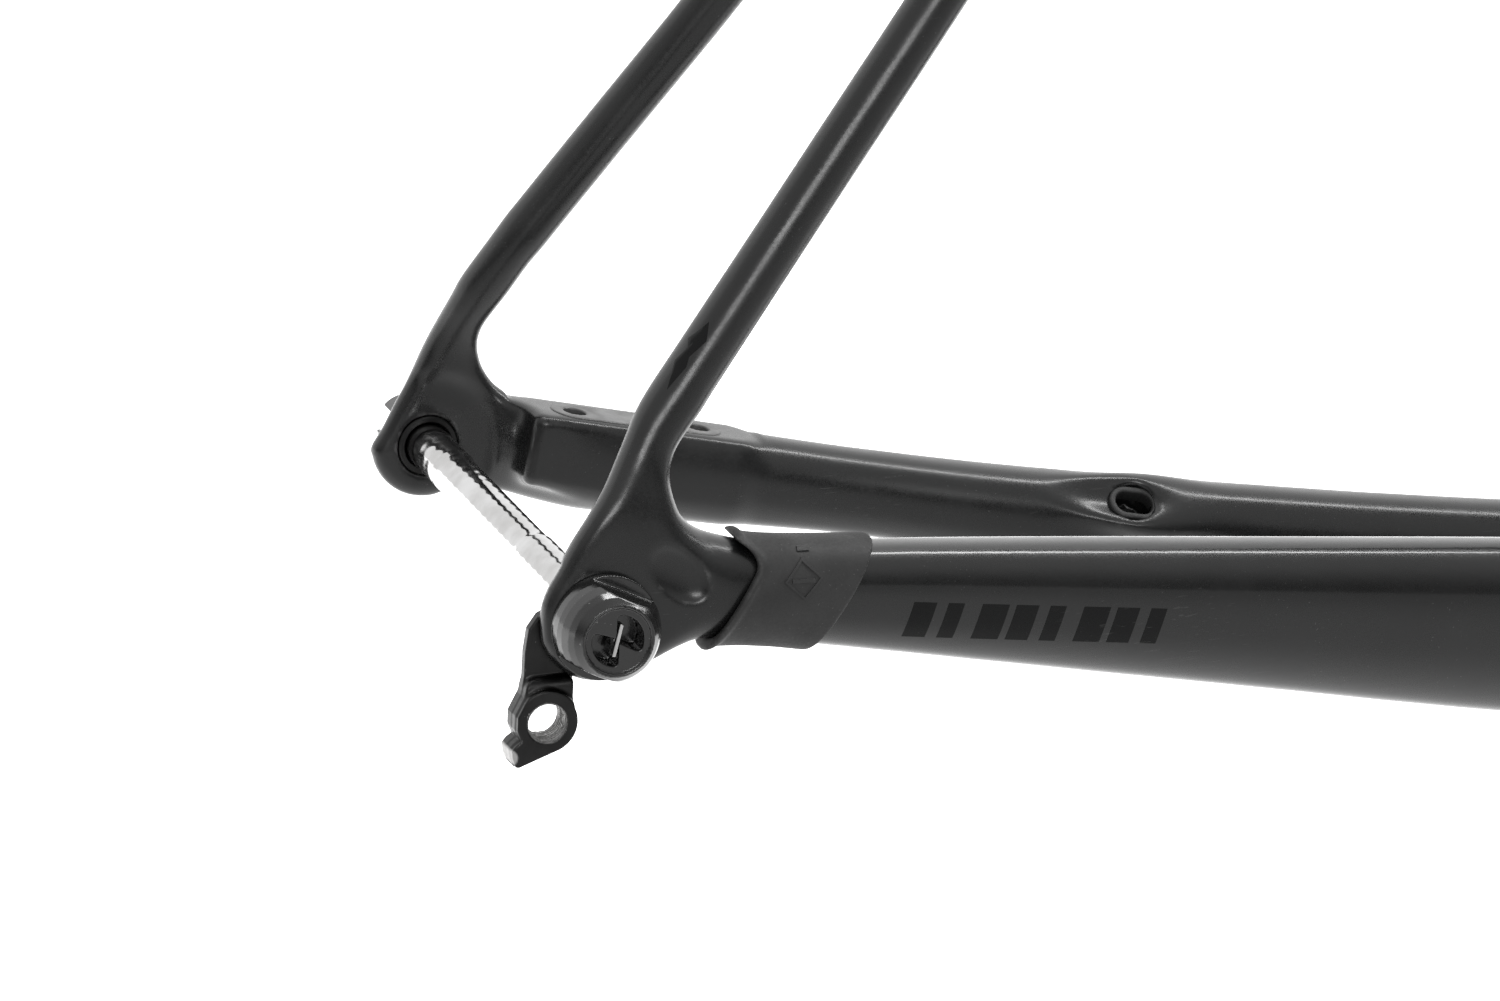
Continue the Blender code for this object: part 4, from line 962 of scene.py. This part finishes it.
def soft_material(name, dark, light, roughness, depth, grain_scale=1700.0):
    """Moulded rubber or nylon: dull, finely grained, flecked with pale dust, paler on rubbed edges."""
    m = Material(name, specular=0.4)
    base = m.mix(m.spread(m.noise(90.0, 4.0), 0.0, 1.0), grey(dark), grey(light))
    base = m.mix(m.math("MULTIPLY", m.specks(1300.0, 0.735), 0.3), base, grey(0.12, 0.02))
    base = m.mix(m.edge_wear(0.3, 2.2, 0.5), base, grey(light * 1.7))
    m.link("Base Color", base)
    grain = m.noise(grain_scale, 3.0)
    sheen = m.spread(m.noise(75.0, 4.0), roughness - 0.07, roughness + 0.07)
    m.link("Roughness", m.math("ADD", sheen, m.spread(grain, -0.05, 0.05)))
    m.bump((grain, depth), (m.noise(200.0, 2.0), 0.05))
    return m.material


def make_finishes():
    return {
        "carbon": carbon_material("carbon", 0.0045, 0.0075, 0.26, 0.34, 0.1),
        "carbon_satin": carbon_material("carbon_satin", 0.004, 0.0065, 0.25, 0.33, 0.6, 0.35),
        "decal": carbon_material("decal", 0.003, 0.005, 0.2, 0.28, specular=0.2),
        "black_metal": metal_material("black_metal", 0.007, 0.16, (3.0, 7.0, 0.95), metallic=0.0,
                                      specular=0.75),
        "dark_metal": metal_material("dark_metal", 0.03, 0.4, (2.5, 6.0, 0.9)),
        "hanger_metal": metal_material("hanger_metal", 0.032, 0.36, (1.6, 4.5, 0.95), grain=(1.0, 0.3, 1.0),
                                       grain_depth=0.012),
        "steel": metal_material("steel", 0.62, 0.16),
        "axle_steel": metal_material("axle_steel", 0.5, 0.085, grain=(1.0, 0.04, 1.0), grain_depth=0.001,
                                     dents=0.0008),
        "aluminium": metal_material("aluminium", 0.66, 0.3, grain=(0.08, 1.0, 1.0), grain_depth=0.006),
        "rubber": soft_material("rubber", 0.019, 0.028, 0.62, 0.03),
        "nylon": soft_material("nylon", 0.014, 0.02, 0.48, 0.012, 1200.0),
        # The brake pad's pale grey is partly its own bare finish and partly painted highlight, lightened to stand
        # in for the bright reflection on the flat land.
        "pad": metal_material("pad", 0.12, 0.4, metallic=0.4, grain=(0.1, 1.0, 1.0)),
    }


# ---------------------------------------------------------------- fittings

def basis(axis):
    """Two directions across an axis."""
    across = unit(np.cross(axis, UPRIGHT if abs(axis[2]) < 0.9 else FORWARD))
    return across, np.cross(axis, across)


class Measured:
    """Where a turned CAD node stands: a point on its axis, its radii and its extent, in millimetres."""

    def __init__(self, name, axis):
        self.axis = unit(axis)
        points = node_points(name)
        across, up = basis(self.axis)
        flat = np.column_stack((points @ across, points @ up))
        centre = (flat.min(axis=0) + flat.max(axis=0)) / 2.0
        self.origin = across * centre[0] + up * centre[1]
        away = np.linalg.norm(flat - centre, axis=1) / MM
        along = points @ self.axis / MM
        self.inner, self.outer = away.min(), away.max()
        self.low, self.high = along.min(), along.max()


def lathe(name, profile, origin, axis):
    """Spin a closed (radius, height) outline in millimetres. A third value of 6 makes its ring a hexagon."""
    across, up = basis(axis)
    angles = 2.0 * np.pi * np.arange(ROUND_SEGMENTS) / ROUND_SEGMENTS
    flat = np.cos(np.pi / 6) / np.cos(np.mod(angles, np.pi / 3) - np.pi / 6)
    points, faces, bends = [], [], []
    rows = [(*row, 0)[:3] for row in profile]
    for i, (radius, height, sides) in enumerate(rows):
        shape = radius * (flat if sides == 6 else 1.0)
        ring = np.outer(np.cos(angles) * shape, across) + np.outer(np.sin(angles) * shape, up)
        points.append(origin + (ring + np.outer(np.full(ROUND_SEGMENTS, height), axis)) * MM)
        following = (i + 1) % len(rows)
        before, here, after = (np.array(rows[k][:2], dtype=float) for k in (i - 1, i, following))
        first, second = here - before, after - here
        sizes = np.linalg.norm(first), np.linalg.norm(second)
        turn = (first[0] * second[1] - first[1] * second[0]) / (sizes[0] * sizes[1] + 1e-9)
        bends.append(np.full(ROUND_SEGMENTS, turn / (min(sizes) + 1e-3)))
        if radius == 0.0 and rows[following][0] == 0.0:
            continue
        for k in range(ROUND_SEGMENTS):
            j = (k + 1) % ROUND_SEGMENTS
            faces.append((i * ROUND_SEGMENTS + k, i * ROUND_SEGMENTS + j,
                          following * ROUND_SEGMENTS + j, following * ROUND_SEGMENTS + k))
    return shaded_mesh(name, np.vstack(points).tolist(), faces, 32.0, np.concatenate(bends))


def ring_piece(node, axis):
    """A turned ring of its CAD node's size, with broken edges. A bearing has a seal let into each end."""
    size = Measured(node, axis)
    wall = size.outer - size.inner
    edge = min(0.35, 0.2 * wall)
    start, end = size.inner + 0.22 * wall, size.outer - 0.22 * wall
    profile = []
    for height, inward in ((size.low, 1.0), (size.high, -1.0)):
        row = [(size.inner, height + inward * edge), (size.inner + edge, height)]
        if "bearing" in node:
            row += [(start, height), (start + 0.15, height + inward * 0.35),
                    (end - 0.15, height + inward * 0.35), (end, height)]
        row += [(size.outer - edge, height), (size.outer, height + inward * edge)]
        profile += row if inward > 0.0 else row[::-1]
    return lathe(node + "_ring", profile, size.origin, size.axis)


def bolt_piece(node, axis, head, shank=0.55):
    """A cap screw of its CAD node's size with a domed edge and a hexagon socket."""
    size = Measured(node, axis)
    r, low, high = size.outer, size.low, size.high
    base = high - head
    core = r * shank
    profile = [(0.0, low), (core - 0.4, low), (core, low + 0.4)]
    height = low + 0.8
    while height + 0.8 < base - 0.5:
        profile += [(core, height), (core - 0.25, height + 0.25), (core, height + 0.5)]
        height += 0.8
    profile += [(core, base), (r - 0.2, base), (r, base + 0.2), (r, high - head * 0.42),
                (r * 0.93, high - head * 0.18), (r * 0.78, high), (r * 0.56, high), (r * 0.5, high - 0.25, 6),
                (r * 0.5, high - head * 0.75, 6), (0.0, high - head * 0.8)]
    return lathe(node + "_screw", profile, size.origin, size.axis)


def field_piece(name, distance, low, high, voxel, soften=0):
    """A fitting from a distance, on a grid of so many millimetres."""
    return surface_mesh(name, distance, low, high, voxel * MM, (), soften)


def node_box(name, margin):
    low, high = (np.array(corner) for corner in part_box(name))
    return low - margin * MM, high + margin * MM


def nut_distance(points):
    """The axle nut: flange, turned barrel, two wrench flats, and a bow-tie opening in its end face."""
    local = points - AXLE
    height = -local[:, 1]
    right, up = local[:, 0], local[:, 2]
    away = np.hypot(right, up)
    body = outline_distance(np.column_stack((away, height)), NUT_PROFILE)
    across = np.abs(right * math.sin(FLATS_TILT) + up * math.cos(FLATS_TILT))
    flats = smooth_max(FLATS_DISTANCE - across, 81.4 * MM - height, 0.6 * MM)
    body = smooth_max(body, -flats, 0.35 * MM)
    for start, end in NUT_SECTORS:
        middle, half = math.radians((start + end) / 2.0), math.radians((end - start) / 2.0)
        u = right * math.cos(middle) + up * math.sin(middle)
        v = np.abs(-right * math.sin(middle) + up * math.cos(middle))
        wedge = v * math.cos(half) - (u + 0.5 * MM) * math.sin(half)
        sector = smooth_max(away - NUT_SECTOR_RADIUS, wedge, 1.6 * MM)
        sector = np.maximum(sector, 85.2 * MM - height)
        body = smooth_max(body, -sector, 0.3 * MM)
    return body


def arc(centre, radius, start, end, count):
    """Points along a circle, from a start to an end in degrees."""
    angles = np.radians(np.linspace(start, end, count))
    return [(centre[0] + radius * math.cos(a), centre[1] + radius * math.sin(a)) for a in angles]


def hanger_outline():
    """Disc round the axle, neck, and the lug with its stop tab."""
    hole = (-14.4, -24.1)
    disc = arc((0.0, 0.0), 12.0, -115.0, 160.0, 30)
    neck = [(-15.0, 2.5), (-17.6, -1.0), (-18.6, -7.0), (-18.9, -13.0), (-19.6, -17.6)]
    lug = [arc(hole, 7.9, angle, angle, 1)[0] for angle in (165.0, 190.0, 212.0)]
    tab = [(-22.7, -29.4), (-23.75, -30.6), (-23.5, -32.6), (-23.2, -33.6), (-22.6, -34.9), (-21.8, -35.0)]
    base = arc(hole, 7.9, 284.0, 385.0, 12)
    return np.array(disc + neck + lug + tab + base + [(-6.9, -15.5)]) * MM


HANGER_OUTLINE = hanger_outline()


def hanger_distance(points):
    """The derailleur hanger: a plate inside the dropout, a thick threaded lug below it."""
    local = points - AXLE
    depth = -local[:, 1]
    flat = local[:, (0, 2)]
    shape = outline_distance(flat, HANGER_OUTLINE)
    plate = smooth_max(shape, np.abs(depth - 72.5 * MM) - 1.5 * MM, 0.5 * MM)
    away = np.linalg.norm(flat - np.array(HANGER_HOLE), axis=1)
    neck = smooth_max(shape, np.abs(depth - 74.0 * MM) - 3.0 * MM, 0.7 * MM)
    neck = smooth_max(neck, flat[:, 1] + 13.2 * MM, 3.0 * MM)
    lug = smooth_max(shape, np.abs(depth - 75.0 * MM) - 4.0 * MM, 0.5 * MM)
    lug = smooth_max(lug, np.minimum(away - HANGER_RING - 0.4 * MM, flat[:, 1] + 28.0 * MM), 0.6 * MM)
    body = smooth_min(smooth_min(plate, neck, 0.8 * MM), lug, 1.0 * MM)
    angle = np.arctan2(flat[:, 1] - HANGER_HOLE[1], flat[:, 0] - HANGER_HOLE[0])
    wave = np.abs(np.mod(depth / THREAD_PITCH - angle / (2.0 * np.pi), 1.0) - 0.5) * 2.0
    thread = 4.72 * MM + 0.42 * MM * (1.0 - wave)
    mouth = 0.45 * MM * (1.0 - smoothstep(79.0 * MM - depth, 0.0, 0.6 * MM))
    body = smooth_max(body, -(away - thread - mouth), 0.12 * MM)
    barrel = np.hypot(flat[:, 0], flat[:, 1]) - 8.4 * MM
    return smooth_max(body, -barrel, 0.3 * MM)


guard_run = chainstays["right"]


def guard_distance(points):
    """Rubber moulded to the stay: slanted ends, a lip at the rear, and an opening that faces the wheel."""
    local = points - AXLE
    skin = rear_distance(points, "right")
    top = np.clip(local[:, 2] - 9.0 * MM, 0.0, 8.0 * MM) ** 2
    rear = GUARD_REAR[0] * MM + GUARD_REAR[1] * local[:, 2] + GUARD_REAR[2] * top
    front = GUARD_FRONT[0] * MM + GUARD_FRONT[1] * local[:, 2] + GUARD_FRONT[2] * top
    from_rear = (local[:, 0] - rear) * 0.83
    thick = GUARD_THICK + 0.55 * MM * (1.0 - smoothstep(from_rear, 1.0 * MM, 2.6 * MM))
    shell = smooth_max(skin - thick, 0.12 * MM - skin, 0.3 * MM)
    body = smooth_max(shell, -from_rear, 0.9 * MM)
    body = smooth_max(body, (local[:, 0] - front) * 0.83, 0.9 * MM)
    s = (points - guard_run.start) @ guard_run.direction
    across, rise = guard_run.section(s)[:2]
    u = (points - guard_run.start) @ guard_run.side - across
    v = (points - guard_run.start) @ guard_run.up - rise
    opening = smooth_max(np.abs(v + 1.0 * MM) - 0.52 * np.maximum(u, 0.0), 2.0 * MM - u, 0.8 * MM)
    return smooth_max(smooth_max(body, -opening, 0.9 * MM), local[:, 2] - 19.5 * MM, 0.5 * MM)


def project(flat, distance, start_y, lift):
    """Put (x, z) points on a surface, `lift` above it, coming in along the lateral axis."""
    points = np.column_stack((flat[:, 0], np.full(len(flat), start_y), flat[:, 1]))
    for _ in range(12):
        value = distance(points) - lift
        points[:, 1] += np.clip(value, -2.0 * MM, 2.0 * MM) * (-math.copysign(1.0, start_y)) * 0.9
    return points


def inlay(name, distance, cells, start_y, lift, fineness):
    """Thin raised cells on a surface, each of four (forward, up) corners in millimetres."""
    points, faces = [], []
    for corners in cells:
        a, b, c, d = (np.array(corner) * MM + AXLE[[0, 2]] for corner in corners)
        wide = max(2, int(np.linalg.norm(b - a) / fineness))
        tall = max(2, int(np.linalg.norm(d - a) / fineness))
        u, v = np.meshgrid(np.linspace(0, 1, wide + 1), np.linspace(0, 1, tall + 1))
        u, v = u.ravel()[:, None], v.ravel()[:, None]
        flat = a * (1 - u) * (1 - v) + b * u * (1 - v) + c * u * v + d * (1 - u) * v
        top = project(flat, distance, start_y, lift)
        base = len(points)
        points += top.tolist()
        index = base + np.arange((wide + 1) * (tall + 1)).reshape(tall + 1, wide + 1)
        for i in range(tall):
            for j in range(wide):
                faces.append((index[i, j], index[i, j + 1], index[i + 1, j + 1], index[i + 1, j]))
        rim = list(index[0, :]) + list(index[1:, -1]) + list(index[-1, -2::-1]) + list(index[-2:0:-1, 0])
        start = len(points)
        sunk = project(flat[np.array(rim) - base], distance, start_y, -0.08 * MM)
        points += sunk.tolist()
        for k in range(len(rim)):
            following = (k + 1) % len(rim)
            faces.append((rim[k], start + k, start + following, rim[following]))
    return shaded_mesh(name, points, [tuple(int(i) for i in face) for face in faces], 40.0)


def leaning_bars(start, step, count, size, lean):
    """Parallelograms in a row: (forward, up) start and step, (width, height) size, all in millimetres."""
    cells = []
    for k in range(count):
        x, z = start[0] + step[0] * k, start[1] + step[1] * k
        w, h = size[k % len(size)]
        rise = step[1] * w / step[0]
        cells.append(((x, z), (x + w, z + rise), (x + w + lean * h, z + h + rise), (x + lean * h, z + h)))
    return cells


def lozenge(centre, radius, width):
    """Four mitred bars round a square that stands on its corner."""
    cells = []
    for k in range(4):
        first, second = math.pi / 2 * k, math.pi / 2 * (k + 1)
        ends = []
        inner = radius - width
        for angle, size in ((first, radius), (second, radius), (second, inner), (first, inner)):
            ends.append((centre[0] + size * math.cos(angle), centre[1] + size * math.sin(angle)))
        cells.append(tuple(ends))
    return cells


def axle_profile(low, high, relief):
    """The axle's outline: end collars, a slimmer middle and shallow rings at an even pitch."""
    start, end = relief
    rows = [(0.0, low), (4.9, low), (5.9, low + 1.0)]
    y = low + 2.0
    while y < high - 1.5:
        in_relief = start < y < end
        radius = 5.62 if in_relief else 6.0
        if start - 0.6 < y < start + 0.6 or end - 0.6 < y < end + 0.6:
            y += 0.5
            continue
        phase = (y - low) % AXLE_RING_PITCH
        depth = 0.02 + 0.02 * math.cos(2.0 * math.pi * phase / AXLE_RING_PITCH) if -66.0 < y < 62.0 else 0.0
        rows.append((radius - depth, y))
        y += 0.5
    return rows + [(6.0, high - 1.0), (5.6, high), (0.0, high)]


def make_axle():
    size = Measured("thru_axle", LATERAL)
    profile = axle_profile(-83.5, size.high, (-22.0, 48.0))
    shaft = lathe("axle_shaft", profile, AXLE * (1.0 - LATERAL), LATERAL)
    tee_low, tee_high = size.low * MM, -83.4 * MM
    tilt = math.radians(15.0)
    along = UPRIGHT * math.cos(tilt) + FORWARD * math.sin(tilt)

    def tee_distance(points):
        local = points - AXLE
        sideways = local @ np.cross(along, LATERAL)
        place = np.column_stack((local @ along, sideways, local[:, 1] - tee_low - 1.5 * MM))
        bar = box_distance(place, (4.3 * MM, 0.55 * MM, 1.5 * MM), 0.3 * MM)
        neck = cylinder_distance(points, AXLE, LATERAL, 0.9 * MM, tee_low + 1.0 * MM, tee_high, 0.2 * MM)
        return smooth_min(bar, neck, 0.5 * MM)

    low = AXLE + np.array([-2.5 * MM, tee_low - 1.0 * MM, -5.5 * MM])
    high = AXLE + np.array([2.5 * MM, tee_high + 1.0 * MM, 5.5 * MM])
    return shaft, field_piece("axle_tee", tee_distance, low, high, 0.25)


HEAD_SIZE = Measured("axle_head", LATERAL)
HINGE = unit(joints["lever_flip"]["axis"])
LEVER_PIVOT = np.array(joints["lever_flip"]["pos_m"])
LEVER_ALONG = unit(np.cross(LATERAL, HINGE))


def head_distance(points):
    """The lever's head on the axle: a turned cup with a slot across it for the lever."""
    size = HEAD_SIZE
    body = cylinder_distance(points, AXLE * (1.0 - LATERAL), LATERAL, size.outer * MM, size.low * MM,
                             size.high * MM, 1.6 * MM)
    local = points - LEVER_PIVOT
    slot = np.maximum(np.abs(local @ HINGE) - 3.3 * MM, -local[:, 1] - 5.4 * MM)
    body = smooth_max(body, -slot, 0.5 * MM)
    pin = np.linalg.norm(local - (local @ HINGE)[:, None] * HINGE, axis=1) - 2.25 * MM
    return smooth_max(body, -pin, 0.25 * MM)


def lever_shape():
    """Outline of the lever seen along its hinge: cam round the pin, waist, and a tip that bends inwards."""
    cam = arc((0.0, 0.0), 4.8, 80.0, 280.0, 24)
    arm = [(5.0, -3.2), (10.0, -2.2), (20.0, -2.1), (30.0, -2.6), (40.0, -3.8), (48.0, -5.0), (50.5, -4.4),
           (50.6, -3.0), (49.0, -0.4), (40.0, 1.8), (30.0, 2.9), (18.0, 3.6), (9.0, 4.3)]
    return np.array(cam + arm) * MM


LEVER_SHAPE = lever_shape()


def lever_distance(points):
    local = points - LEVER_PIVOT
    along, height = local @ LEVER_ALONG, local @ HINGE
    body = outline_distance(np.column_stack((along, local[:, 1])), LEVER_SHAPE)
    waist = smoothstep(along, 6.0 * MM, 24.0 * MM) * (1.0 - smoothstep(along, 30.0 * MM, 48.0 * MM))
    wide = 3.0 * MM - 0.5 * MM * waist
    body = smooth_max(body, np.abs(height) - wide, 1.2 * MM)
    dish = smooth_max(np.abs(height) - 1.6 * MM, np.abs(along - 28.0 * MM) - 13.0 * MM, 1.0 * MM)
    dish = smooth_max(dish, 1.9 * MM - local[:, 1], 0.5 * MM)
    body = smooth_max(body, -dish, 0.5 * MM)
    pin = np.hypot(along, local[:, 1]) - 2.25 * MM
    return smooth_max(body, -pin, 0.25 * MM)


def pad_distance(points):
    """The brake's facing plate, level with its mount face, with two bolt holes."""
    local = points - BRAKE_CENTRE
    u, v, w = local @ BRAKE_ALONG, local[:, 1], local @ BRAKE_UP
    oval = np.hypot(np.maximum(np.abs(u) - 17.7 * MM, 0.0), v) - 6.2 * MM
    body = smooth_max(oval, np.abs(w + 1.2 * MM) - 1.2 * MM, 0.4 * MM)
    hole = np.hypot(np.abs(u) - BRAKE_SPAN / 2, v) - BRAKE_PAD_HOLE
    return smooth_max(body, -hole, 0.5 * MM)


def grommet_distance(points):
    """The rubber lip round the hose's way out."""
    local = points - PORT_CENTRE
    u, v, w = local @ PORT_ALONG, local @ np.cross(PORT_OUT, PORT_ALONG), local @ PORT_OUT
    oval = np.hypot(np.maximum(np.abs(u) - 2.0 * MM, 0.0), v)
    body = smooth_max(oval - 4.9 * MM, np.abs(w + 1.6 * MM) - 2.4 * MM, 0.8 * MM)
    return smooth_max(body, -(oval - 3.2 * MM), 0.8 * MM)


COVER_CENTRE = np.array(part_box("cable_port_cover")).mean(axis=0)
COVER_ALONG = down_tube.direction


def cover_distance(points):
    """The oval cable plug: a slice of the down tube's own surface, just proud of it."""
    local = points - COVER_CENTRE
    u, v = local @ COVER_ALONG, local @ np.cross(LATERAL, COVER_ALONG)
    oval = np.hypot(np.maximum(np.abs(u) - 9.5 * MM, 0.0), v) - 7.1 * MM
    skin = np.abs(down_tube.distance(points) + 0.6 * MM) - 1.2 * MM
    body = smooth_max(oval, skin, 0.6 * MM)
    hole = np.hypot(np.abs(u) - 8.0 * MM, v) - 2.6 * MM
    return smooth_max(body, -hole, 0.5 * MM)


clamp_heights = node_points("seat_clamp") @ SEAT_UP
CLAMP_CENTRE = SEAT_UP * (clamp_heights.min() + clamp_heights.max()) / 2


def clamp_distance(points):
    """The seatpost clamp: a band with two ears, the slit between them and the bolt's hole."""
    local = points - CLAMP_CENTRE
    back = unit(np.cross(SEAT_UP, LATERAL))
    back = back if back[0] < 0.0 else -back
    u, v, w = local @ back, local[:, 1], local @ SEAT_UP
    away = np.hypot(u, v)
    band = smooth_max(away - 21.0 * MM, np.abs(w) - 6.9 * MM, 1.0 * MM)
    ears = box_distance(np.column_stack((u - 24.0 * MM, v, w)), (6.4 * MM, 7.4 * MM, 5.9 * MM), 1.5 * MM)
    body = smooth_min(band, ears, 2.0 * MM)
    body = smooth_max(body, 17.5 * MM - away, 0.5 * MM)
    slit = smooth_max(np.abs(v) - 1.3 * MM, 14.0 * MM - u, 0.3 * MM)
    body = smooth_max(body, -slit, 0.5 * MM)
    groove = np.hypot(away - 21.6 * MM, w) - 1.5 * MM
    body = smooth_max(body, -groove, 0.6 * MM)
    hole = np.hypot(u - 25.5 * MM, w) - 2.7 * MM
    return smooth_max(body, -hole, 0.3 * MM)


def make_hanger():
    """The hanger, its metal bare on the chipped tab and in the thread."""
    hanger = field_piece("hanger_body", hanger_distance, *node_box("derailleur_hanger", 1.0), 0.36)
    flat = mesh_points(hanger.data)[:, (0, 2)] - AXLE[[0, 2]]
    chip = np.linalg.norm(flat - np.array([-24.4, -32.2]) * MM, axis=1)
    inside = np.linalg.norm(flat - np.array(HANGER_HOLE), axis=1)
    threads = 0.75 * (1.0 - smoothstep(inside, 5.0 * MM, 5.3 * MM))
    keep_values(hanger.data, "bare", np.maximum(1.0 - smoothstep(chip, 1.9 * MM, 2.4 * MM), threads))
    return hanger


def make_marks():
    """The plain marks on the guard and the stays, as rows like those of all_fittings."""
    emblem = lozenge((52.0, 6.6), 5.2, 0.8) + leaning_bars((48.9, 6.1), (1.0, -0.08), 1, ((6.2, 0.9),), 0.0)
    emblem += leaning_bars((51.4, 13.2), (1.0, -0.08), 1, ((3.4, 0.8),), 0.2)
    bars = leaning_bars((79.0, -12.4), (9.4, -1.55), 8, ((6.2, 9.0), (4.4, 9.0), (7.4, 9.0)), 0.35)
    marks = [((19.6, 56.6), (24.6, 61.6), (27.0, 67.2), (22.6, 62.8)),
             ((24.9, 63.4), (30.0, 67.6), (31.2, 72.0), (26.3, 67.8))]
    stay, corner = (lambda p: chainstay_distance(p, "right")), (lambda p: rear_distance(p, "right"))
    table = (
        ("guard_emblem", guard_distance, emblem, (-90.0, 0.35, 0.5), "rubber", "chainstay_guard"),
        ("chainstay_marks", stay, bars, (-90.0, 0.06, 1.2), "decal", "chainstay_right"),
        ("seatstay_marks", corner, marks, (-80.0, 0.06, 1.0), "decal", "seatstay_right"),
    )
    rows = []
    for name, distance, cells, sizes, finish, node in table:
        start, lift, fineness = (size * MM for size in sizes)
        rows.append((inlay(name, distance, cells, start, lift, fineness), finish, node))
    return rows


def make_pin():
    size = Measured("axle_lever_pin", HINGE)
    profile = ((0.0, size.low), (size.outer - 0.4, size.low), (size.outer, size.low + 0.4),
               (size.outer, size.high - 0.4), (size.outer - 0.4, size.high), (0.0, size.high))
    return lathe("pin_body", profile, size.origin, HINGE)


def cup_piece(node, axis):
    """A pressed-in cup: its flange outside the shell, its barrel, and the lip that keeps the bearing."""
    size = Measured(node, axis)
    face = size.high
    profile = ((18.8, face - 0.5), (19.3, face), (22.4, face), (23.0, face - 0.6), (23.0, face - 1.4),
               (20.2, face - 1.4), (20.2, size.low + 0.6), (19.6, size.low), (14.9, size.low),
               (14.5, size.low + 0.4), (14.5, size.low + 1.3), (18.8, size.low + 1.3))
    return lathe(node + "_body", profile, size.origin, axis)


def all_fittings():
    """Every detailed fitting as (piece, finish, the CAD node that it stands for)."""
    nut = field_piece("nut_body", nut_distance, *node_box("axle_nut", 1.0), 0.42)
    rows = [(nut, "black_metal", "axle_nut"), (make_hanger(), "hanger_metal", "derailleur_hanger")]
    low, high = node_box("chainstay_guard", 5.0)
    low[0] -= 6.0 * MM
    rows.append((field_piece("guard_body", guard_distance, low, high, 0.55, 1), "rubber", "chainstay_guard"))
    rows += make_marks()
    shaft, tee = make_axle()
    rows += [(shaft, "axle_steel", "thru_axle"), (tee, "steel", "thru_axle")]
    fields = (
        ("head_body", head_distance, "axle_head", 1.0, 0.45, "black_metal"),
        ("lever_body", lever_distance, "axle_lever", 1.0, 0.55, "black_metal"),
        ("pad_plate", pad_distance, "brake_mount_pad", 1.0, 0.45, "pad"),
        ("grommet_lip", grommet_distance, "hose_port_grommet", 1.0, 0.4, "rubber"),
        ("port_cover", cover_distance, "cable_port_cover", 1.5, 0.5, "nylon"),
        ("clamp_band", clamp_distance, "seat_clamp", 1.0, 0.7, "black_metal"),
    )
    for name, distance, node, margin, voxel, finish in fields:
        rows.append((field_piece(name, distance, *node_box(node, margin), voxel), finish, node))
    rings = (("axle_washer", LATERAL, "black_metal"), ("dropout_bushing_left", LATERAL, "dark_metal"),
             ("brake_sleeve_front", BRAKE_UP, "aluminium"), ("brake_sleeve_rear", BRAKE_UP, "aluminium"),
             ("bb_dust_sleeve", LATERAL, "nylon"))
    for node, axis, finish in rings:
        rows.append((ring_piece(node, axis), finish, node))
    for label in SIGN:
        for node in ("bb_bearing_" + label, "bb_race_" + label):
            rows.append((ring_piece(node, LATERAL), "steel", node))
        node = "bb_cup_" + label
        rows.append((cup_piece(node, LATERAL * SIGN[label]), "nylon", node))
    for label in ("upper", "lower"):
        for node in ("headset_bearing_" + label, "headset_race_" + label):
            rows.append((ring_piece(node, SEAT_UP), "steel", node))
    forward = unit(np.cross(LATERAL, SEAT_UP))
    outward = np.array(mounts["bottle_mount_down"]["axis"])
    bolts = (("bottle_bolt_seat_1", forward, 3.0, 0.52), ("bottle_bolt_seat_2", forward, 3.0, 0.52),
             ("bottle_bolt_down_1", outward, 3.0, 0.52), ("bottle_bolt_down_2", outward, 3.0, 0.52),
             ("front_derailleur_screw_upper", -LATERAL, 2.6, 0.52),
             ("front_derailleur_screw_lower", -LATERAL, 2.6, 0.52),
             ("seat_clamp_bolt", LATERAL, 4.2, 0.58), ("bb_guide_screw", -UPRIGHT, 2.4, 0.55))
    for node, axis, head, shank in bolts:
        rows.append((bolt_piece(node, axis, head, shank), "steel", node))
    rows.append((make_pin(), "steel", "axle_lever_pin"))
    return rows


# ---------------------------------------------------------------- putting it together

def attach(piece, finish, body, slot):
    piece.data.materials.clear()
    piece.data.materials.append(finish)
    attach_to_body(piece, body)


make_camera()
make_studio()
finishes = make_finishes()
slots = {row["node"]: row["material_slot"] for row in frame["record"]["subparts"]}
node_bodies = {node: body for body, names in frame["record"]["behaviour"]["bodies"].items() for node in names}

for skin in make_skins():
    near = skin.name == "chainstay_skin_right"
    attach(skin, finishes["carbon_satin" if near else "carbon"], "frame", "carbon")

for piece, finish, node in all_fittings():
    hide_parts(node)
    attach(piece, finishes[finish], node_bodies[node], slots[node])

for name in ("front_derailleur_mount", "bb_cable_guide"):
    node = nodes[name]
    node.data.materials.clear()
    node.data.materials.append(finishes[slots[name]])
    bevel = node.modifiers.new("bevel", "BEVEL")
    bevel.width = 0.5 * MM
    bevel.segments = 3
    bevel.angle_limit = math.radians(40.0)
    bevel.harden_normals = True
